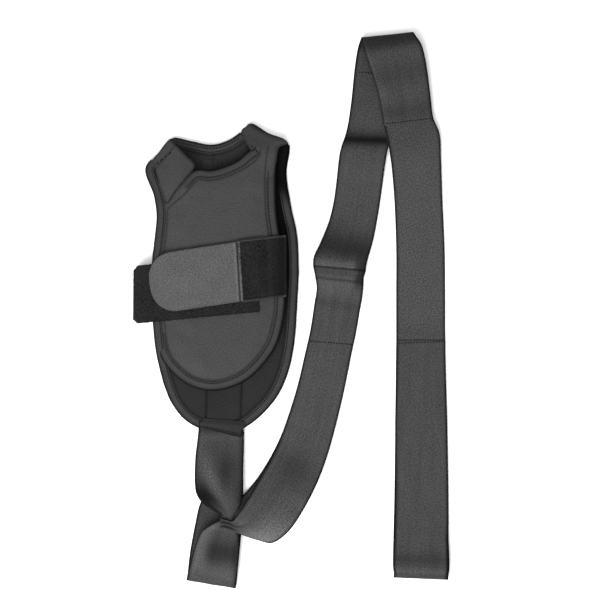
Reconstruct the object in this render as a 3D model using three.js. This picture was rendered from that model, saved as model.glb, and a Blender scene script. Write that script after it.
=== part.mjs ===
// Arm sling: a padded forearm cradle that closes with a hook-and-loop band, and a long shoulder strap
// whose lower loop is linked through a webbing loop at the elbow end of the cradle. It lies flat on its
// back panel. Millimetres, +Z up, +Y towards the neck end, origin under the middle of the whole sling.
import * as THREE from 'three';
import { mergeVertices } from 'three/addons/utils/BufferGeometryUtils.js';

// ---------------------------------------------------------------- driving dimensions
const GAP = 0.3;              // clearance kept between pieces that touch
const CLOTH = 1.0;            // woven shell and lining fabric
const BACK_FOAM = 3.0;        // foam inside the back panel
const FRONT_FOAM = 3.5;       // foam inside the front panel
const TAPE = 0.8;             // folded edge binding tape
const BINDING_LEG = 7;        // how far the binding reaches in over the panels
const SKIN_INSET = 8.5;       // back shell and lining stop short of the binding's legs
const FOAM_INSET = 2.5;       // foam stops inside the fold of the binding
const FRONT_INSET = 3;        // all front layers stop inside the fold of the front binding
const LAYER_GAP = 0.5;        // clearance between the domed layers of the front panel
const BOWED_GAP = 0.6;        // clearance between pieces that curve over one another
const WEBBING = 1.5;          // strap webbing thickness
const PILE = 1.8;             // loop-pile tape thickness
const ARM_ROOM = 9;            // how high the front panel domes over the back panel
const SIDE_RAMP = 40;         // width over which the dome rises from the sewn side
const FREE_EDGE_RAMP = 30;    // width over which it falls again towards its free edges
const PATCH = 1.0;            // hook tape thickness
const CLOSURE_TILT = 6.5;     // degrees that the closure slants down towards the sewn side
const CLOSURE_WIDTH = 62;
const CLOSURE_REACH = 46;     // length of the closure's pile band, from its fold to the tab's seam
const TAB_REACH = 92;         // length of the hook tab beyond the seam
const TAB_ROUNDING = 24;      // corner radius of the tab's free end
const STRIP_TILT = 5.5;       // degrees that the loop strip slants
const STRIP_WIDTH = 58;
const STRIP_REACH = 127;      // length of the loop strip, its free end included
const FOLD_TILT = 6;          // degrees that the strap's top fold slants
const DEGREE = Math.PI / 180;

const BACK_TOP = CLOTH + GAP + BACK_FOAM + GAP + CLOTH;
const FRONT_STACK = CLOTH + LAYER_GAP + FRONT_FOAM + LAYER_GAP + CLOTH;
const FRONT_SEAT = BACK_TOP + GAP + TAPE + BOWED_GAP;

// ---------------------------------------------------------------- outlines of the two panels
// Each panel is bounded by four curves that share their corners; points are [x, y].
const BACK_EDGES = {
  top: [[-149, 144], [-137, 159], [-124, 174], [-104, 172], [-83, 168], [-66, 172], [-51, 180],
    [-43, 190], [-24, 181], [-4, 171]],
  right: [[-4, 171], [-6, 140], [-1, 104], [5, 78], [7, 40], [5, 0], [3, -30], [-4, -61], [-17, -85]],
  bottom: [[-127, -79], [-117, -97], [-104, -112], [-88, -121], [-70, -124], [-52, -120], [-34, -105],
    [-17, -85]],
  left: [[-149, 144], [-140, 117], [-137, 97], [-139, 73], [-142, 45], [-142, 5], [-136, -48], [-127, -79]],
};

const FRONT_EDGES = {
  top: [[-138, 106], [-118, 123], [-98, 142], [-81, 142], [-64, 147], [-50, 155], [-41, 163], [-28, 165],
    [-14, 165]],
  right: [[-14, 165], [-16, 130], [-15, 98], [-11, 70], [-7, 35], [-6, 5], [-10, -21], [-16, -39]],
  bottom: [[-134, -49], [-127, -59], [-116, -70], [-104, -78], [-90, -82], [-76, -83], [-60, -79],
    [-45, -72], [-30, -58], [-16, -39]],
  left: [[-138, 106], [-137, 97], [-139, 73], [-142, 45], [-142, 5], [-134, -49]],
};

// The sewn side and the free side of the front panel, read as x at a given y.
const SEWN_SIDE = [[-149, 144], [-138, 106], [-137, 97], [-139, 73], [-142, 45], [-142, 5], [-134, -49],
  [-124, -68], [-118, -83]];
const FREE_SIDE = [[-14, 165], [-16, 130], [-15, 98], [-11, 70], [-7, 35], [-6, 5], [-10, -21], [-16, -39],
  [-30, -58], [-45, -72], [-60, -79], [-72, -83]];

// ---------------------------------------------------------------- small helpers
const ease = (t) => {
  const s = THREE.MathUtils.clamp(t, 0, 1);
  return s * s * (3 - 2 * s);
};

function xAt(points, y) {
  for (let i = 1; i < points.length; i += 1) {
    const [x0, y0] = points[i - 1];
    const [x1, y1] = points[i];
    if (y >= y1) return THREE.MathUtils.lerp(x0, x1, THREE.MathUtils.clamp((y0 - y) / (y0 - y1), 0, 1));
  }
  return points[points.length - 1][0];
}

const curveThrough = (points) => new THREE.CatmullRomCurve3(
  points.map(([x, y, z = 0]) => new THREE.Vector3(x, y, z)));

// Deletes everything but position, merges shared corners and turns the faces outward.
function closedSolid(geometry) {
  geometry.deleteAttribute('normal');
  geometry.deleteAttribute('uv');
  const solid = mergeVertices(geometry, 1e-4);
  const position = solid.getAttribute('position');
  const index = solid.getIndex();
  const corner = [0, 1, 2].map(() => new THREE.Vector3());
  let volume = 0;
  for (let i = 0; i < index.count; i += 3) {
    corner.forEach((v, k) => v.fromBufferAttribute(position, index.getX(i + k)));
    volume += corner[0].dot(corner[1].clone().cross(corner[2]));
  }
  if (volume < 0) {
    for (let i = 0; i < index.count; i += 3) {
      const second = index.getX(i + 1);
      index.setX(i + 1, index.getX(i + 2));
      index.setX(i + 2, second);
    }
  }
  return solid;
}

// A unit box, cut into steps, whose corners are moved by place(u, v, w) with u, v and w from 0 to 1.
function mappedBox(uSteps, vSteps, place) {
  const box = new THREE.BoxGeometry(1, 1, 1, uSteps, vSteps, 1);
  const position = box.getAttribute('position');
  for (let i = 0; i < position.count; i += 1) {
    const p = place(position.getX(i) + 0.5, position.getY(i) + 0.5, position.getZ(i) + 0.5);
    position.setXYZ(i, p.x, p.y, p.z);
  }
  return closedSolid(box);
}

// Moves a panel's four edge curves inwards by a margin, keeping their shared corners together.
function insetEdges(edges, margin) {
  const loop = [...edges.top.slice(0, -1), ...edges.right.slice(0, -1),
    ...edges.bottom.slice(1).reverse(), ...edges.left.slice(1).reverse()];
  const moved = new Map();
  loop.forEach((point, i) => {
    const [before, after] = [loop[(i + loop.length - 1) % loop.length], loop[(i + 1) % loop.length]];
    const inward = ([x0, y0], [x1, y1]) => new THREE.Vector2(y1 - y0, x0 - x1).normalize();
    const first = inward(before, point);
    const normal = first.clone().add(inward(point, after)).normalize();
    const reach = margin / Math.max(0.6, normal.dot(first));
    moved.set(String(point), [point[0] + normal.x * reach, point[1] + normal.y * reach]);
  });
  const shift = (points) => points.map((point) => moved.get(String(point)));
  return { top: shift(edges.top), right: shift(edges.right), bottom: shift(edges.bottom), left: shift(edges.left) };
}

// ---------------------------------------------------------------- shape makers
// A panel layer between four edge curves (a Coons patch), resting on a surface and as thick as asked.
function panelLayer(edges, { steps, restOn, thickness }) {
  const [top, right, bottom, left] = [edges.top, edges.right, edges.bottom, edges.left].map(curveThrough);
  return mappedBox(steps[0], steps[1], (u, t, w) => {
    const v = 1 - t;
    const p = top.getPoint(u).multiplyScalar(1 - v).addScaledVector(bottom.getPoint(u), v)
      .addScaledVector(left.getPoint(v), 1 - u).addScaledVector(right.getPoint(v), u)
      .addScaledVector(top.getPoint(0), -(1 - u) * (1 - v)).addScaledVector(top.getPoint(1), -u * (1 - v))
      .addScaledVector(bottom.getPoint(0), -(1 - u) * v).addScaledVector(bottom.getPoint(1), -u * v);
    p.z = restOn(p.x, p.y) + w * thickness;
    return p;
  });
}

// A flat band that follows stations [x, y, z, width, angle of its width in degrees], never below the floor.
function band(stations, thickness, steps) {
  const centre = curveThrough(stations);
  const shape = curveThrough(stations.map((s) => [s[3], s[4]]));
  return mappedBox(steps, 1, (u, v, w) => {
    const size = shape.getPoint(u);
    const across = new THREE.Vector3(Math.cos(size.y * DEGREE), Math.sin(size.y * DEGREE), 0);
    const along = centre.getPoint(Math.min(u + 0.002, 1)).sub(centre.getPoint(Math.max(u - 0.002, 0)));
    const normal = along.cross(across).normalize();
    const p = centre.getPoint(u).addScaledVector(across, (v - 0.5) * size.x)
      .addScaledVector(normal, (w - 0.5) * thickness);
    p.z = Math.max(p.z, 0);
    return p;
  });
}

// A folded binding tape: a U that opens towards the panel, from its foot up to its top at each place.
function binding(edge, { foot, top, inward, steps, leg = BINDING_LEG }) {
  const path = curveThrough(edge);
  const fold = new THREE.Shape([[0, 0], [1, 0], [1, 0.1], [0.1, 0.1], [0.1, 0.9], [1, 0.9], [1, 1], [0, 1]]
    .map(([x, y]) => new THREE.Vector2(x, y)));
  const tube = new THREE.ExtrudeGeometry(fold, { depth: 1, steps, bevelEnabled: false });
  const position = tube.getAttribute('position');
  for (let i = 0; i < position.count; i += 1) {
    const u = THREE.MathUtils.clamp(position.getZ(i), 0, 1);
    const at = path.getPoint(u);
    const along = path.getPoint(Math.min(u + 0.002, 1)).sub(path.getPoint(Math.max(u - 0.002, 0)));
    const side = new THREE.Vector3(-along.y, along.x, 0).normalize().multiplyScalar(inward);
    const depth = position.getX(i);
    const reach = depth < 0.5 ? depth * 10 * TAPE : leg;
    const p = at.clone().addScaledVector(side, reach);
    const level = position.getY(i);
    const low = foot(p.x, p.y);
    const high = top(p.x, p.y);
    p.z = level < 0.5 ? low + level * 10 * TAPE : high - (1 - level) * 10 * TAPE;
    position.setXYZ(i, p.x, p.y, p.z);
  }
  return closedSolid(tube);
}

// A four-cornered sheet given by the corners of its underside.
function plate([a, b, c, d], thickness, steps = [1, 1]) {
  const [pa, pb, pc, pd] = [a, b, c, d].map((p) => new THREE.Vector3(...p));
  return mappedBox(steps[0], steps[1], (u, v, w) => {
    const low = pa.clone().lerp(pb, u);
    const high = pd.clone().lerp(pc, u);
    const p = low.lerp(high, v);
    p.z += w * thickness;
    return p;
  });
}

// ---------------------------------------------------------------- heights
const onFloor = () => 0;
const above = (surface, lift) => (x, y) => surface(x, y) + lift;

// Underside of the front panel: sewn down along one side, domed over the arm, free along the other.
function frontUnderside(x, y) {
  const rise = ease((x - xAt(SEWN_SIDE, y)) / SIDE_RAMP);
  const free = 0.7 + 0.3 * ease((xAt(FREE_SIDE, y) - x) / FREE_EDGE_RAMP);
  const foot = 0.8 + 0.2 * ease((y + 83) / FREE_EDGE_RAMP);
  const neck = 0.8 + 0.2 * ease((150 - y) / FREE_EDGE_RAMP);
  return FRONT_SEAT + ARM_ROOM * rise * free * foot * neck;
}
const frontTop = above(frontUnderside, FRONT_STACK);

// ---------------------------------------------------------------- materials
const finish = (color, roughness = 0.95) => new THREE.MeshStandardMaterial({ color, roughness, metalness: 0 });
const SHELL = finish(0x4b4b4c);
const LINING = finish(0x39393a);
const FOAM = finish(0x8c8c88);
const BINDING = finish(0x474748, 0.85);
const PILE_BLACK = finish(0x2a2a2b);
const TAB_GREY = finish(0x646465);
const HOOK = finish(0x303032, 0.6);
const STRAP = finish(0x505051, 0.7);
const STRAP_PILE = finish(0x555556);
const LABEL = finish(0x9a9a98);

const sling = new THREE.Group();
function add(name, geometry, material) {
  const mesh = new THREE.Mesh(geometry, material);
  mesh.name = name;
  sling.add(mesh);
  return mesh;
}

// ---------------------------------------------------------------- back panel
const NECK_SCOOP = [[-119, 173], [-104, 172], [-83, 168], [-66, 172], [-53, 178.5]];
const BACK_FREE_EDGE = [...BACK_EDGES.left.slice(6), ...BACK_EDGES.bottom.slice(1, -1),
  ...BACK_EDGES.right.slice(1).reverse()];

function addBackPanel() {
  const layer = (inset, level, thickness) => panelLayer(insetEdges(BACK_EDGES, inset),
    { steps: [12, 12], restOn: () => level, thickness });
  add('back_shell', layer(SKIN_INSET, 0, CLOTH), SHELL);
  add('back_foam', layer(FOAM_INSET, CLOTH + GAP, BACK_FOAM), FOAM);
  add('back_lining', layer(SKIN_INSET, BACK_TOP - CLOTH, CLOTH), LINING);
  const flat = { foot: onFloor, top: () => BACK_TOP };
  add('back_binding', binding(BACK_FREE_EDGE, { ...flat, inward: 1, steps: 40 }), BINDING);
  add('back_neck_binding', binding(NECK_SCOOP, { ...flat, inward: -1, steps: 10 }), BINDING);
}

// ---------------------------------------------------------------- front panel
const NECKLINE = [[-94, 142], ...FRONT_EDGES.top.slice(3, 7)];
const FRONT_FREE_EDGE = [...FRONT_EDGES.right.slice(0, -1), ...[...FRONT_EDGES.bottom].reverse().slice(0, 8)];
const SEWN_EDGE = [[-148, 141], [-140, 117], [-137, 97], [-139, 73], [-142, 45], [-142, 5], [-137, -40]];

// The side binding wraps both panels, and thins to the back panel alone above the front panel.
function sideBindingTop(x, y) {
  const full = frontTop(x, y) + TAPE + BOWED_GAP;
  return THREE.MathUtils.lerp(full, BACK_TOP + 1, ease((y - 112) / 28));
}

function addFrontPanel() {
  const edges = insetEdges(FRONT_EDGES, FRONT_INSET);
  const layer = (lift, thickness) => panelLayer(edges,
    { steps: [18, 13], restOn: above(frontUnderside, lift), thickness });
  add('front_lining', layer(0, CLOTH), LINING);
  add('front_foam', layer(CLOTH + LAYER_GAP, FRONT_FOAM), FOAM);
  add('front_shell', layer(FRONT_STACK - CLOTH, CLOTH), SHELL);
  const wrap = { foot: above(frontUnderside, -TAPE - BOWED_GAP), top: above(frontTop, TAPE + BOWED_GAP) };
  add('front_binding', binding(FRONT_FREE_EDGE, { ...wrap, inward: -1, steps: 36 }), BINDING);
  add('neck_binding', binding(NECKLINE, { ...wrap, inward: -1, steps: 14 }), BINDING);
  add('side_binding', binding(SEWN_EDGE, { foot: onFloor, top: sideBindingTop, inward: 1, steps: 30 }), BINDING);
}

// ---------------------------------------------------------------- shoulders, label and elbow patch
const FLAP_FOLD = [[-142.8, 151.5], [-123.4, 174.4]];
const FLAP_CLOTH = 1.3;

function addShoulders() {
  const flapUnderside = (lift) => [
    [...FLAP_FOLD[0], BACK_TOP + GAP + lift],
    [-127.5, 105.6, 20 + lift],
    [-97.4, 144.3, 22.2 + lift],
    [...FLAP_FOLD[1], BACK_TOP + GAP + lift],
  ];
  add('flap_lining', plate(flapUnderside(0), FLAP_CLOTH, [6, 4]), LINING);
  add('flap_shell', plate(flapUnderside(FLAP_CLOTH + GAP), FLAP_CLOTH, [6, 4]), SHELL);
  const shoulder = [
    [-40, 165.5, frontUnderside(-40, 163)],
    [-14.5, 166.5, frontUnderside(-15, 163)],
    [-5, 170.3, BACK_TOP + GAP],
    [-44, 188.5, BACK_TOP + GAP],
  ];
  add('right_shoulder_tab', plate(shoulder, FRONT_STACK - 1, [4, 4]), SHELL);
  const label = [[-91, 141], [-75, 141], [-75, 153], [-91, 153]].map((p) => [...p, BACK_TOP + GAP]);
  add('care_label', plate(label, 0.4), LABEL);
  const patch = [[-89, -136], [-53, -138], [-50, -110], [-86, -108]].map((p) => [...p, BACK_TOP + GAP]);
  add('elbow_patch', plate(patch, 1.2, [2, 2]), SHELL);
}

// ---------------------------------------------------------------- closure
// Over the bindings a crossing piece rides up by their thickness and comes down again between them.
function crossingTop(x, y) {
  const nearSewn = 1 - ease((x - xAt(SEWN_SIDE, y) - BINDING_LEG - 1) / 8);
  const nearFree = 1 - ease((xAt(FREE_SIDE, y) - x - BINDING_LEG - 1) / 8);
  return frontTop(x, y) + BOWED_GAP + (TAPE + BOWED_GAP) * Math.max(nearSewn, nearFree);
}

const STRIP_END_X = -35;
function closureBase(x, y) {
  const overStrip = ease((STRIP_END_X + 10 - x) / 8);
  return crossingTop(x, y) + (PILE + BOWED_GAP) * overStrip;
}

// The loop strip's free end hangs down a little past the sewn side.
function stripBase(x, y) {
  const past = Math.max(0, xAt(SEWN_SIDE, y) - x);
  return crossingTop(x, y) - 0.012 * past * past;
}

// A sheet laid on a surface: it starts at a point and runs towards -X, slanting down by a tilt.
function laidSheet({ start, tilt, from = 0, to, halfWidth, rise = 0, restOn, thickness, steps }) {
  const along = new THREE.Vector2(-Math.cos(tilt * DEGREE), -Math.sin(tilt * DEGREE));
  const across = new THREE.Vector2(-along.y, along.x).negate();
  return mappedBox(steps[0], steps[1], (u, v, w) => {
    const a = THREE.MathUtils.lerp(from, to, u);
    const b = rise + (2 * v - 1) * halfWidth(a);
    const x = start[0] + along.x * a + across.x * b;
    const y = start[1] + along.y * a + across.y * b;
    return new THREE.Vector3(x, y, restOn(x, y) + w * thickness);
  });
}

const CLOSURE_FOLD = [-7.2, 43.6];
const tiltedPoint = ([x, y], tilt, reach) => [x - Math.cos(tilt * DEGREE) * reach,
  y - Math.sin(tilt * DEGREE) * reach];
const TAB_SEAM = tiltedPoint(CLOSURE_FOLD, CLOSURE_TILT, CLOSURE_REACH);

function addClosure() {
  add('loop_strip', laidSheet({ start: [STRIP_END_X, 27], tilt: STRIP_TILT, to: STRIP_REACH,
    halfWidth: (a) => STRIP_WIDTH / 2 - 4 * ease((a - STRIP_REACH + 4) / 4),
    restOn: stripBase, thickness: PILE, steps: [26, 3] }), PILE_BLACK);

  const closure = { start: CLOSURE_FOLD, tilt: CLOSURE_TILT, from: 0.8, to: CLOSURE_REACH - GAP };
  const backing = 1.0;
  add('closure_backing', laidSheet({ ...closure, halfWidth: () => CLOSURE_WIDTH / 2, restOn: closureBase,
    thickness: backing, steps: [12, 3] }), STRAP);
  const pileBase = above(closureBase, backing + LAYER_GAP);
  const pileHalf = CLOSURE_WIDTH / 2 - 3.3;
  add('closure_pile', laidSheet({ ...closure, from: 2.5, halfWidth: () => pileHalf, restOn: pileBase,
    thickness: PILE, steps: [12, 3] }), PILE_BLACK);
  const tape = { ...closure, from: 2.5, halfWidth: () => 1.5, restOn: pileBase, thickness: TAPE, steps: [12, 1] };
  add('closure_binding_upper', laidSheet({ ...tape, rise: CLOSURE_WIDTH / 2 - 1.5 }), BINDING);
  add('closure_binding_lower', laidSheet({ ...tape, rise: 1.5 - CLOSURE_WIDTH / 2 }), BINDING);

  const tabHalf = (margin) => (a) => {
    const past = Math.max(0, a - (TAB_REACH - TAB_ROUNDING)) / TAB_ROUNDING;
    return 30.5 - margin - TAB_ROUNDING * (1 - Math.sqrt(Math.max(0, 1 - past * past)));
  };
  const tab = { start: TAB_SEAM, tilt: CLOSURE_TILT + 2, from: 1.6 };
  add('hook_patch', laidSheet({ ...tab, from: 4, to: TAB_REACH - 4, halfWidth: tabHalf(3), restOn: closureBase,
    thickness: PATCH, steps: [18, 3] }), HOOK);
  add('hook_tab', laidSheet({ ...tab, to: TAB_REACH, halfWidth: tabHalf(0),
    restOn: above(closureBase, PATCH + LAYER_GAP), thickness: 1.2, steps: [20, 3] }), TAB_GREY);

  // The closure's root: sewn to the back lining, it turns up around the front panel's free edge.
  const root = [[24, 6.75], [10, 6.75], [-1.5, 6.9], [-4.6, 10], [-5.2, 15], [-4.2, 19.8], [-0.8, 22]]
    .map(([reach, z]) => [...tiltedPoint(CLOSURE_FOLD, CLOSURE_TILT, reach), z, CLOSURE_WIDTH - 2,
      90 + CLOSURE_TILT]);
  add('closure_root', band(root, 1.2, 14), STRAP);
}

// ---------------------------------------------------------------- straps
// Stations are [x, y, z of the webbing's middle, width, angle of its width in degrees].
const LINK_LOOP = [
  [-71, -126, 3.2, 46, 0], [-72.5, -150, 7, 49, 0], [-73.5, -175, 12, 48, 0], [-72.5, -192, 14.3, 40, -2],
  [-69, -203, 15.3, 22, -4], [-66, -210, 15.5, 7, -5], [-66, -220, 15.3, 7, -6], [-70, -229, 14.2, 24, -8],
  [-75, -241, 12.5, 44, -8], [-79, -262, 10.2, 48.5, -9], [-81.2, -275, 7.8, 49.5, -9.5],
  [-82, -279.5, 4.6, 49.5, -9.5], [-81.2, -275, 1.5, 49.5, -9.5], [-78, -253, 0.75, 49, -8],
  [-69.5, -190, 0.75, 49, -5], [-71, -126, 0.75, 46, 0],
];
const STRAP_LINK = [
  [40.4, -34.6, 3.2, 45.7, -5], [27.3, -92, 3.4, 47, -15], [8.7, -148, 7, 50, -23], [-14, -193, 15, 52, -31],
  [-31, -215.5, 20.5, 49, -52], [-47, -218, 20.5, 30, -72], [-58, -215.5, 18.6, 10, -84],
  [-68, -215, 18.2, 8, -88], [-71.3, -215, 15.5, 8, -90], [-68, -215, 12.8, 8, -88],
  [-58, -214.5, 12, 10, -84], [-46, -213, 9, 28, -68], [-32, -208, 5, 47, -50], [-14, -189, 1.8, 50, -31],
  [8.7, -147, 0.75, 49, -23], [27.3, -92, 0.75, 47, -15], [40.4, -34.6, 0.75, 45.7, -5],
];
const LONG_RUN = [
  [40.6, -33.8, 2, 45.7, -5], [46.7, 1.5, 1.4, 46, -10], [49.3, 19, 3.2, 46, -7], [49, 36, 8.5, 51, -5],
  [49.4, 47, 15, 54, -5], [53, 63.8, 9.5, 52, -12], [59.7, 83, 3.6, 46, -16], [64.8, 105.6, 2.4, 45, -11],
  [67.8, 126, 3.4, 45, -8], [71.6, 157.6, 6, 46, -7], [76.5, 172, 3.4, 46.5, -10], [80.5, 183, 1.2, 47, -11],
  [84.9, 205.5, 0.75, 48, -9], [91.5, 248.4, 0.75, 52, -4], [96, 272, 1.1, 54, 3],
  [97.6, 279.2, 3.4, 53, FOLD_TILT], [98, 280.3, 5.4, 53, FOLD_TILT], [98, 280.4, 7, 53, FOLD_TILT],
];
const RETURN_RUN = [
  [98, 280.4, 7.4, 53, FOLD_TILT], [98, 280.3, 9, 53, FOLD_TILT], [98.3, 279, 11, 53.5, FOLD_TILT], [99.6, 275, 13, 55, 7],
  [103.5, 266, 14, 57.5, 9], [109, 248.4, 13.4, 56, 11], [114.8, 223, 11, 52, 10],
  [119.4, 192.8, 8.4, 50, FOLD_TILT + 1],
];
const PILE_SECTION = [
  [119.5, 192, 8.4, 50.5, FOLD_TILT + 1], [125.4, 173, 6.6, 53, 13], [127.7, 151.5, 5.1, 50.5, 6],
  [130.3, 110.7, 2.6, 48.5, 3], [132.4, 60, 1.2, 49, 1], [132.6, 20, 1.1, 49.5, 0], [132.6, -33.6, 1.6, 49.5, 0],
];
const END_LOOP = [
  [132.6, -34.3, 2.7, 49.5, 0], [133.1, -123, 2.8, 53, 0], [133.6, -190, 3.4, 54, 0], [133, -235, 6, 55, 0],
  [132.6, -256, 8.8, 57, -1], [132.5, -266, 9.6, 56.5, -2], [132.6, -272, 7.8, 55, -2.4],
  [132.7, -274.3, 4.8, 54, -2.4], [132.6, -272, 1.8, 54.5, -2.4], [132.5, -262, 0.75, 56, -1],
  [133, -190, 0.75, 54, 0], [132.6, -34.3, 0.75, 49.5, 0],
];

function addStraps() {
  add('link_loop', band(LINK_LOOP, WEBBING, 44), STRAP);
  add('strap_link_loop', band(STRAP_LINK, WEBBING, 48), STRAP);
  add('strap_long_run', band(LONG_RUN, WEBBING, 44), STRAP);
  add('strap_return_run', band(RETURN_RUN, WEBBING, 18), STRAP);
  add('strap_pile_section', band(PILE_SECTION, PILE, 14), STRAP_PILE);
  add('strap_end_loop', band(END_LOOP, WEBBING, 36), STRAP);
}

addBackPanel();
addFrontPanel();
addShoulders();
addClosure();
addStraps();

export default sling;
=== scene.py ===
# Arm sling, seen from straight above as it lies flat: a padded forearm cradle with a hook-and-loop
# closure, and a long shoulder strap linked through a webbing loop at the elbow end.
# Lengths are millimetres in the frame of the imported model, and make() turns them into metres. Only the
# hinges, the sheets' flat sizes, the floor, the lights and the camera are given in metres.
import math

import bpy
import numpy as np
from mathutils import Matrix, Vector, geometry


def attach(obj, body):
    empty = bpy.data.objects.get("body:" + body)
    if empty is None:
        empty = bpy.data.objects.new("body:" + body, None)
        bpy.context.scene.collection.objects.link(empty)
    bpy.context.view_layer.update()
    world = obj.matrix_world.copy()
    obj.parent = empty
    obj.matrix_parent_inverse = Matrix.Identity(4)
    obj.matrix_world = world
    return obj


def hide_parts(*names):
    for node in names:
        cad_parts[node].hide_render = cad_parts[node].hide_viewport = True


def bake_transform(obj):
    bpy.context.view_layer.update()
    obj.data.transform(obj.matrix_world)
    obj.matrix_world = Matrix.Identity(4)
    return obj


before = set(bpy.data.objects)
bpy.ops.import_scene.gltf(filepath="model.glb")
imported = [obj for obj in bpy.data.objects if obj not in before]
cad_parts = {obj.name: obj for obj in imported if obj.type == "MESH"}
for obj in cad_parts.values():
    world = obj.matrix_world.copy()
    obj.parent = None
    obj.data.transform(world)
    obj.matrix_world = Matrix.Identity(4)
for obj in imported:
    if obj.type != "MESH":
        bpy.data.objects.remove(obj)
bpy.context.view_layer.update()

MM = 0.001
TAU = 2 * math.pi
UV_SCALE = 0.01  # UV units for each millimetre of cloth

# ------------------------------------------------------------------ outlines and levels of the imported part
BACK_TOP = 5.6  # level of the back panel's upper face
FRONT_SEAT = 7.3  # level of the front panel's underside where it is sewn to the back
FRONT_STACK = 6.5  # thickness of the front panel
ARM_ROOM = 9.0  # how far the front panel arches over the room for the forearm
WEBBING = 1.5  # thickness of the strap
WEBBING_WIDTH = 49.0
CLOSURE_TILT = 6.5  # degrees, as is the next
STRIP_TILT = 5.5
CLOSURE_FOLD = (-7.2, 43.6)  # middle of the fold round the front panel's free edge
TAB_SEAM = (-52.9, 38.4)  # middle of the seam that holds the hook tab
BINDING_LEG = 9.5  # width of the edge tape on each face of a panel
BINDING_TAPE = 0.8  # its thickness
LOWEST = 0.02  # no cloth lies lower than this over the floor

BACK_LOOP = [(-149.5, 144.5), (-138, 159.5), (-126, 174.5), (-121, 176), (-104, 172.5), (-83, 168.5),
             (-66, 172.5), (-52, 182), (-48, 187), (-42, 191.5), (-24, 181.5), (-3.5, 171.5), (-5.5, 140),
             (-0.5, 104), (5, 78), (7, 40), (5, 0), (3, -30), (-3, -62), (-14, -87.5), (-31, -108),
             (-50.5, -122), (-70, -125.5), (-90, -123), (-107, -114.5), (-120.5, -99.5), (-129.5, -80),
             (-137.5, -48), (-142.5, 5), (-142.5, 45), (-139.5, 73), (-137.5, 97), (-140.5, 117)]
SEWN_SIDE = [(-149, 144), (-138, 106), (-137, 97), (-139, 73), (-142, 45), (-142, 5), (-134, -49),
             (-124, -68), (-118, -83)]
FREE_SIDE = [(-14, 165), (-16, 130), (-15, 98), (-11, 70), (-7, 35), (-6, 5), (-10, -21), (-16, -39),
             (-30, -58), (-45, -72), (-60, -79), (-72, -83)]
FRONT_LOOP = [SEWN_SIDE[1], (-118, 123), (-98, 142), (-81, 142), (-64, 147), (-51, 154), (-42.5, 161.5),
              (-44.5, 165.5), (-48.5, 173), (-51, 179), (-52, 182.5), (-50.5, 185.5), (-46, 188),
              (-43.2, 190.5), (-40, 188.5), (-29, 182), (-18, 177.5), (-15.5, 177.3), (-4.2, 172.3),
              (-3, 170), (-6, 167.8), (-12, 165), (-13.5, 160), (-14.5, 152), (-15.5, 143), *FREE_SIDE[1:-1],
              (-76, -83), (-90, -82), (-104, -78), (-116, -70), (-127, -59), *SEWN_SIDE[6:1:-1]]

# Each hinge names the bodies on its two sides, and says where the bend between them starts and ends.
CLOSURE_HINGE = ("cradle", "closure_band", (-0.004, 0.0436, 0.013), (-0.004, 0.0436, 0.0215))
TAB_HINGE = ("closure_band", "tab", (-0.0525, 0.0384, 0.026), (-0.0585, 0.0377, 0.026))
FLAP_HINGE = ("cradle", "shoulder_flap", (-0.1385, 0.1595, 0.006), (-0.1285, 0.1505, 0.006))
RETURN_HINGE = ("cradle", "strap_return", (0.098, 0.28, 0.0025), (0.098, 0.28, 0.0075))
END_HINGE = ("strap_return", "end_loop", (0.1326, -0.030, 0), (0.1326, -0.042, 0))


def place(obj, slot, *nodes, body=None, hinge=None, fill=None, sheet=None):
    if body:
        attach(obj, body)
    if nodes:
        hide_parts(*nodes)
    if hinge:
        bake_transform(obj)


# ------------------------------------------------------------------ small mathematics
def ease(t):
    s = np.clip(t, 0, 1)
    return s * s * (3 - 2 * s)


def bump_at(x, centre, width):
    return np.exp(-(((x - centre) / width) ** 2))


def x_at(side, y):
    points = np.array(side[::-1], float)
    return np.interp(y, points[:, 1], points[:, 0])


def lattice(ix, iy, seed):
    h = np.sin(ix * 127.1 + iy * 311.7 + seed * 74.7) * 43758.5453
    return h - np.floor(h)


def noise(x, y, size, seed=0):
    """Smooth value noise from -1 to 1 with features of that size."""
    x, y = np.asarray(x, float) / size, np.asarray(y, float) / size
    ix, iy = np.floor(x), np.floor(y)
    fx, fy = x - ix, y - iy
    fx, fy = fx * fx * (3 - 2 * fx), fy * fy * (3 - 2 * fy)
    low = lattice(ix, iy, seed) * (1 - fx) + lattice(ix + 1, iy, seed) * fx
    high = lattice(ix, iy + 1, seed) * (1 - fx) + lattice(ix + 1, iy + 1, seed) * fx
    return 2 * (low * (1 - fy) + high * fy) - 1


def spline(points, t):
    """Centripetal Catmull-Rom through the points, at each t from 0 to 1."""
    p = np.array(points, float)
    n = len(p)
    at = (n - 1) * np.clip(t, 0, 1)
    i = np.minimum(at.astype(int), n - 2)
    w = (at - i)[:, None]
    p1, p2 = p[i], p[i + 1]
    p0 = np.where((i > 0)[:, None], p[np.maximum(i - 1, 0)], 2 * p[0] - p[1])
    p3 = np.where((i + 2 < n)[:, None], p[np.minimum(i + 2, n - 1)], 2 * p[-1] - p[-2])
    d0, d1, d2 = (np.sqrt(np.linalg.norm(b - a, axis=1))[:, None] for a, b in ((p0, p1), (p1, p2), (p2, p3)))
    d1 = np.where(d1 < 1e-4, 1, d1)
    d0, d2 = np.where(d0 < 1e-4, d1, d0), np.where(d2 < 1e-4, d1, d2)
    t1 = ((p1 - p0) / d0 - (p2 - p0) / (d0 + d1) + (p2 - p1) / d1) * d1
    t2 = ((p2 - p1) / d1 - (p3 - p1) / (d1 + d2) + (p3 - p2) / d2) * d1
    return p1 + t1 * w + (3 * (p2 - p1) - 2 * t1 - t2) * w**2 + (2 * (p1 - p2) + t1 + t2) * w**3


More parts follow.
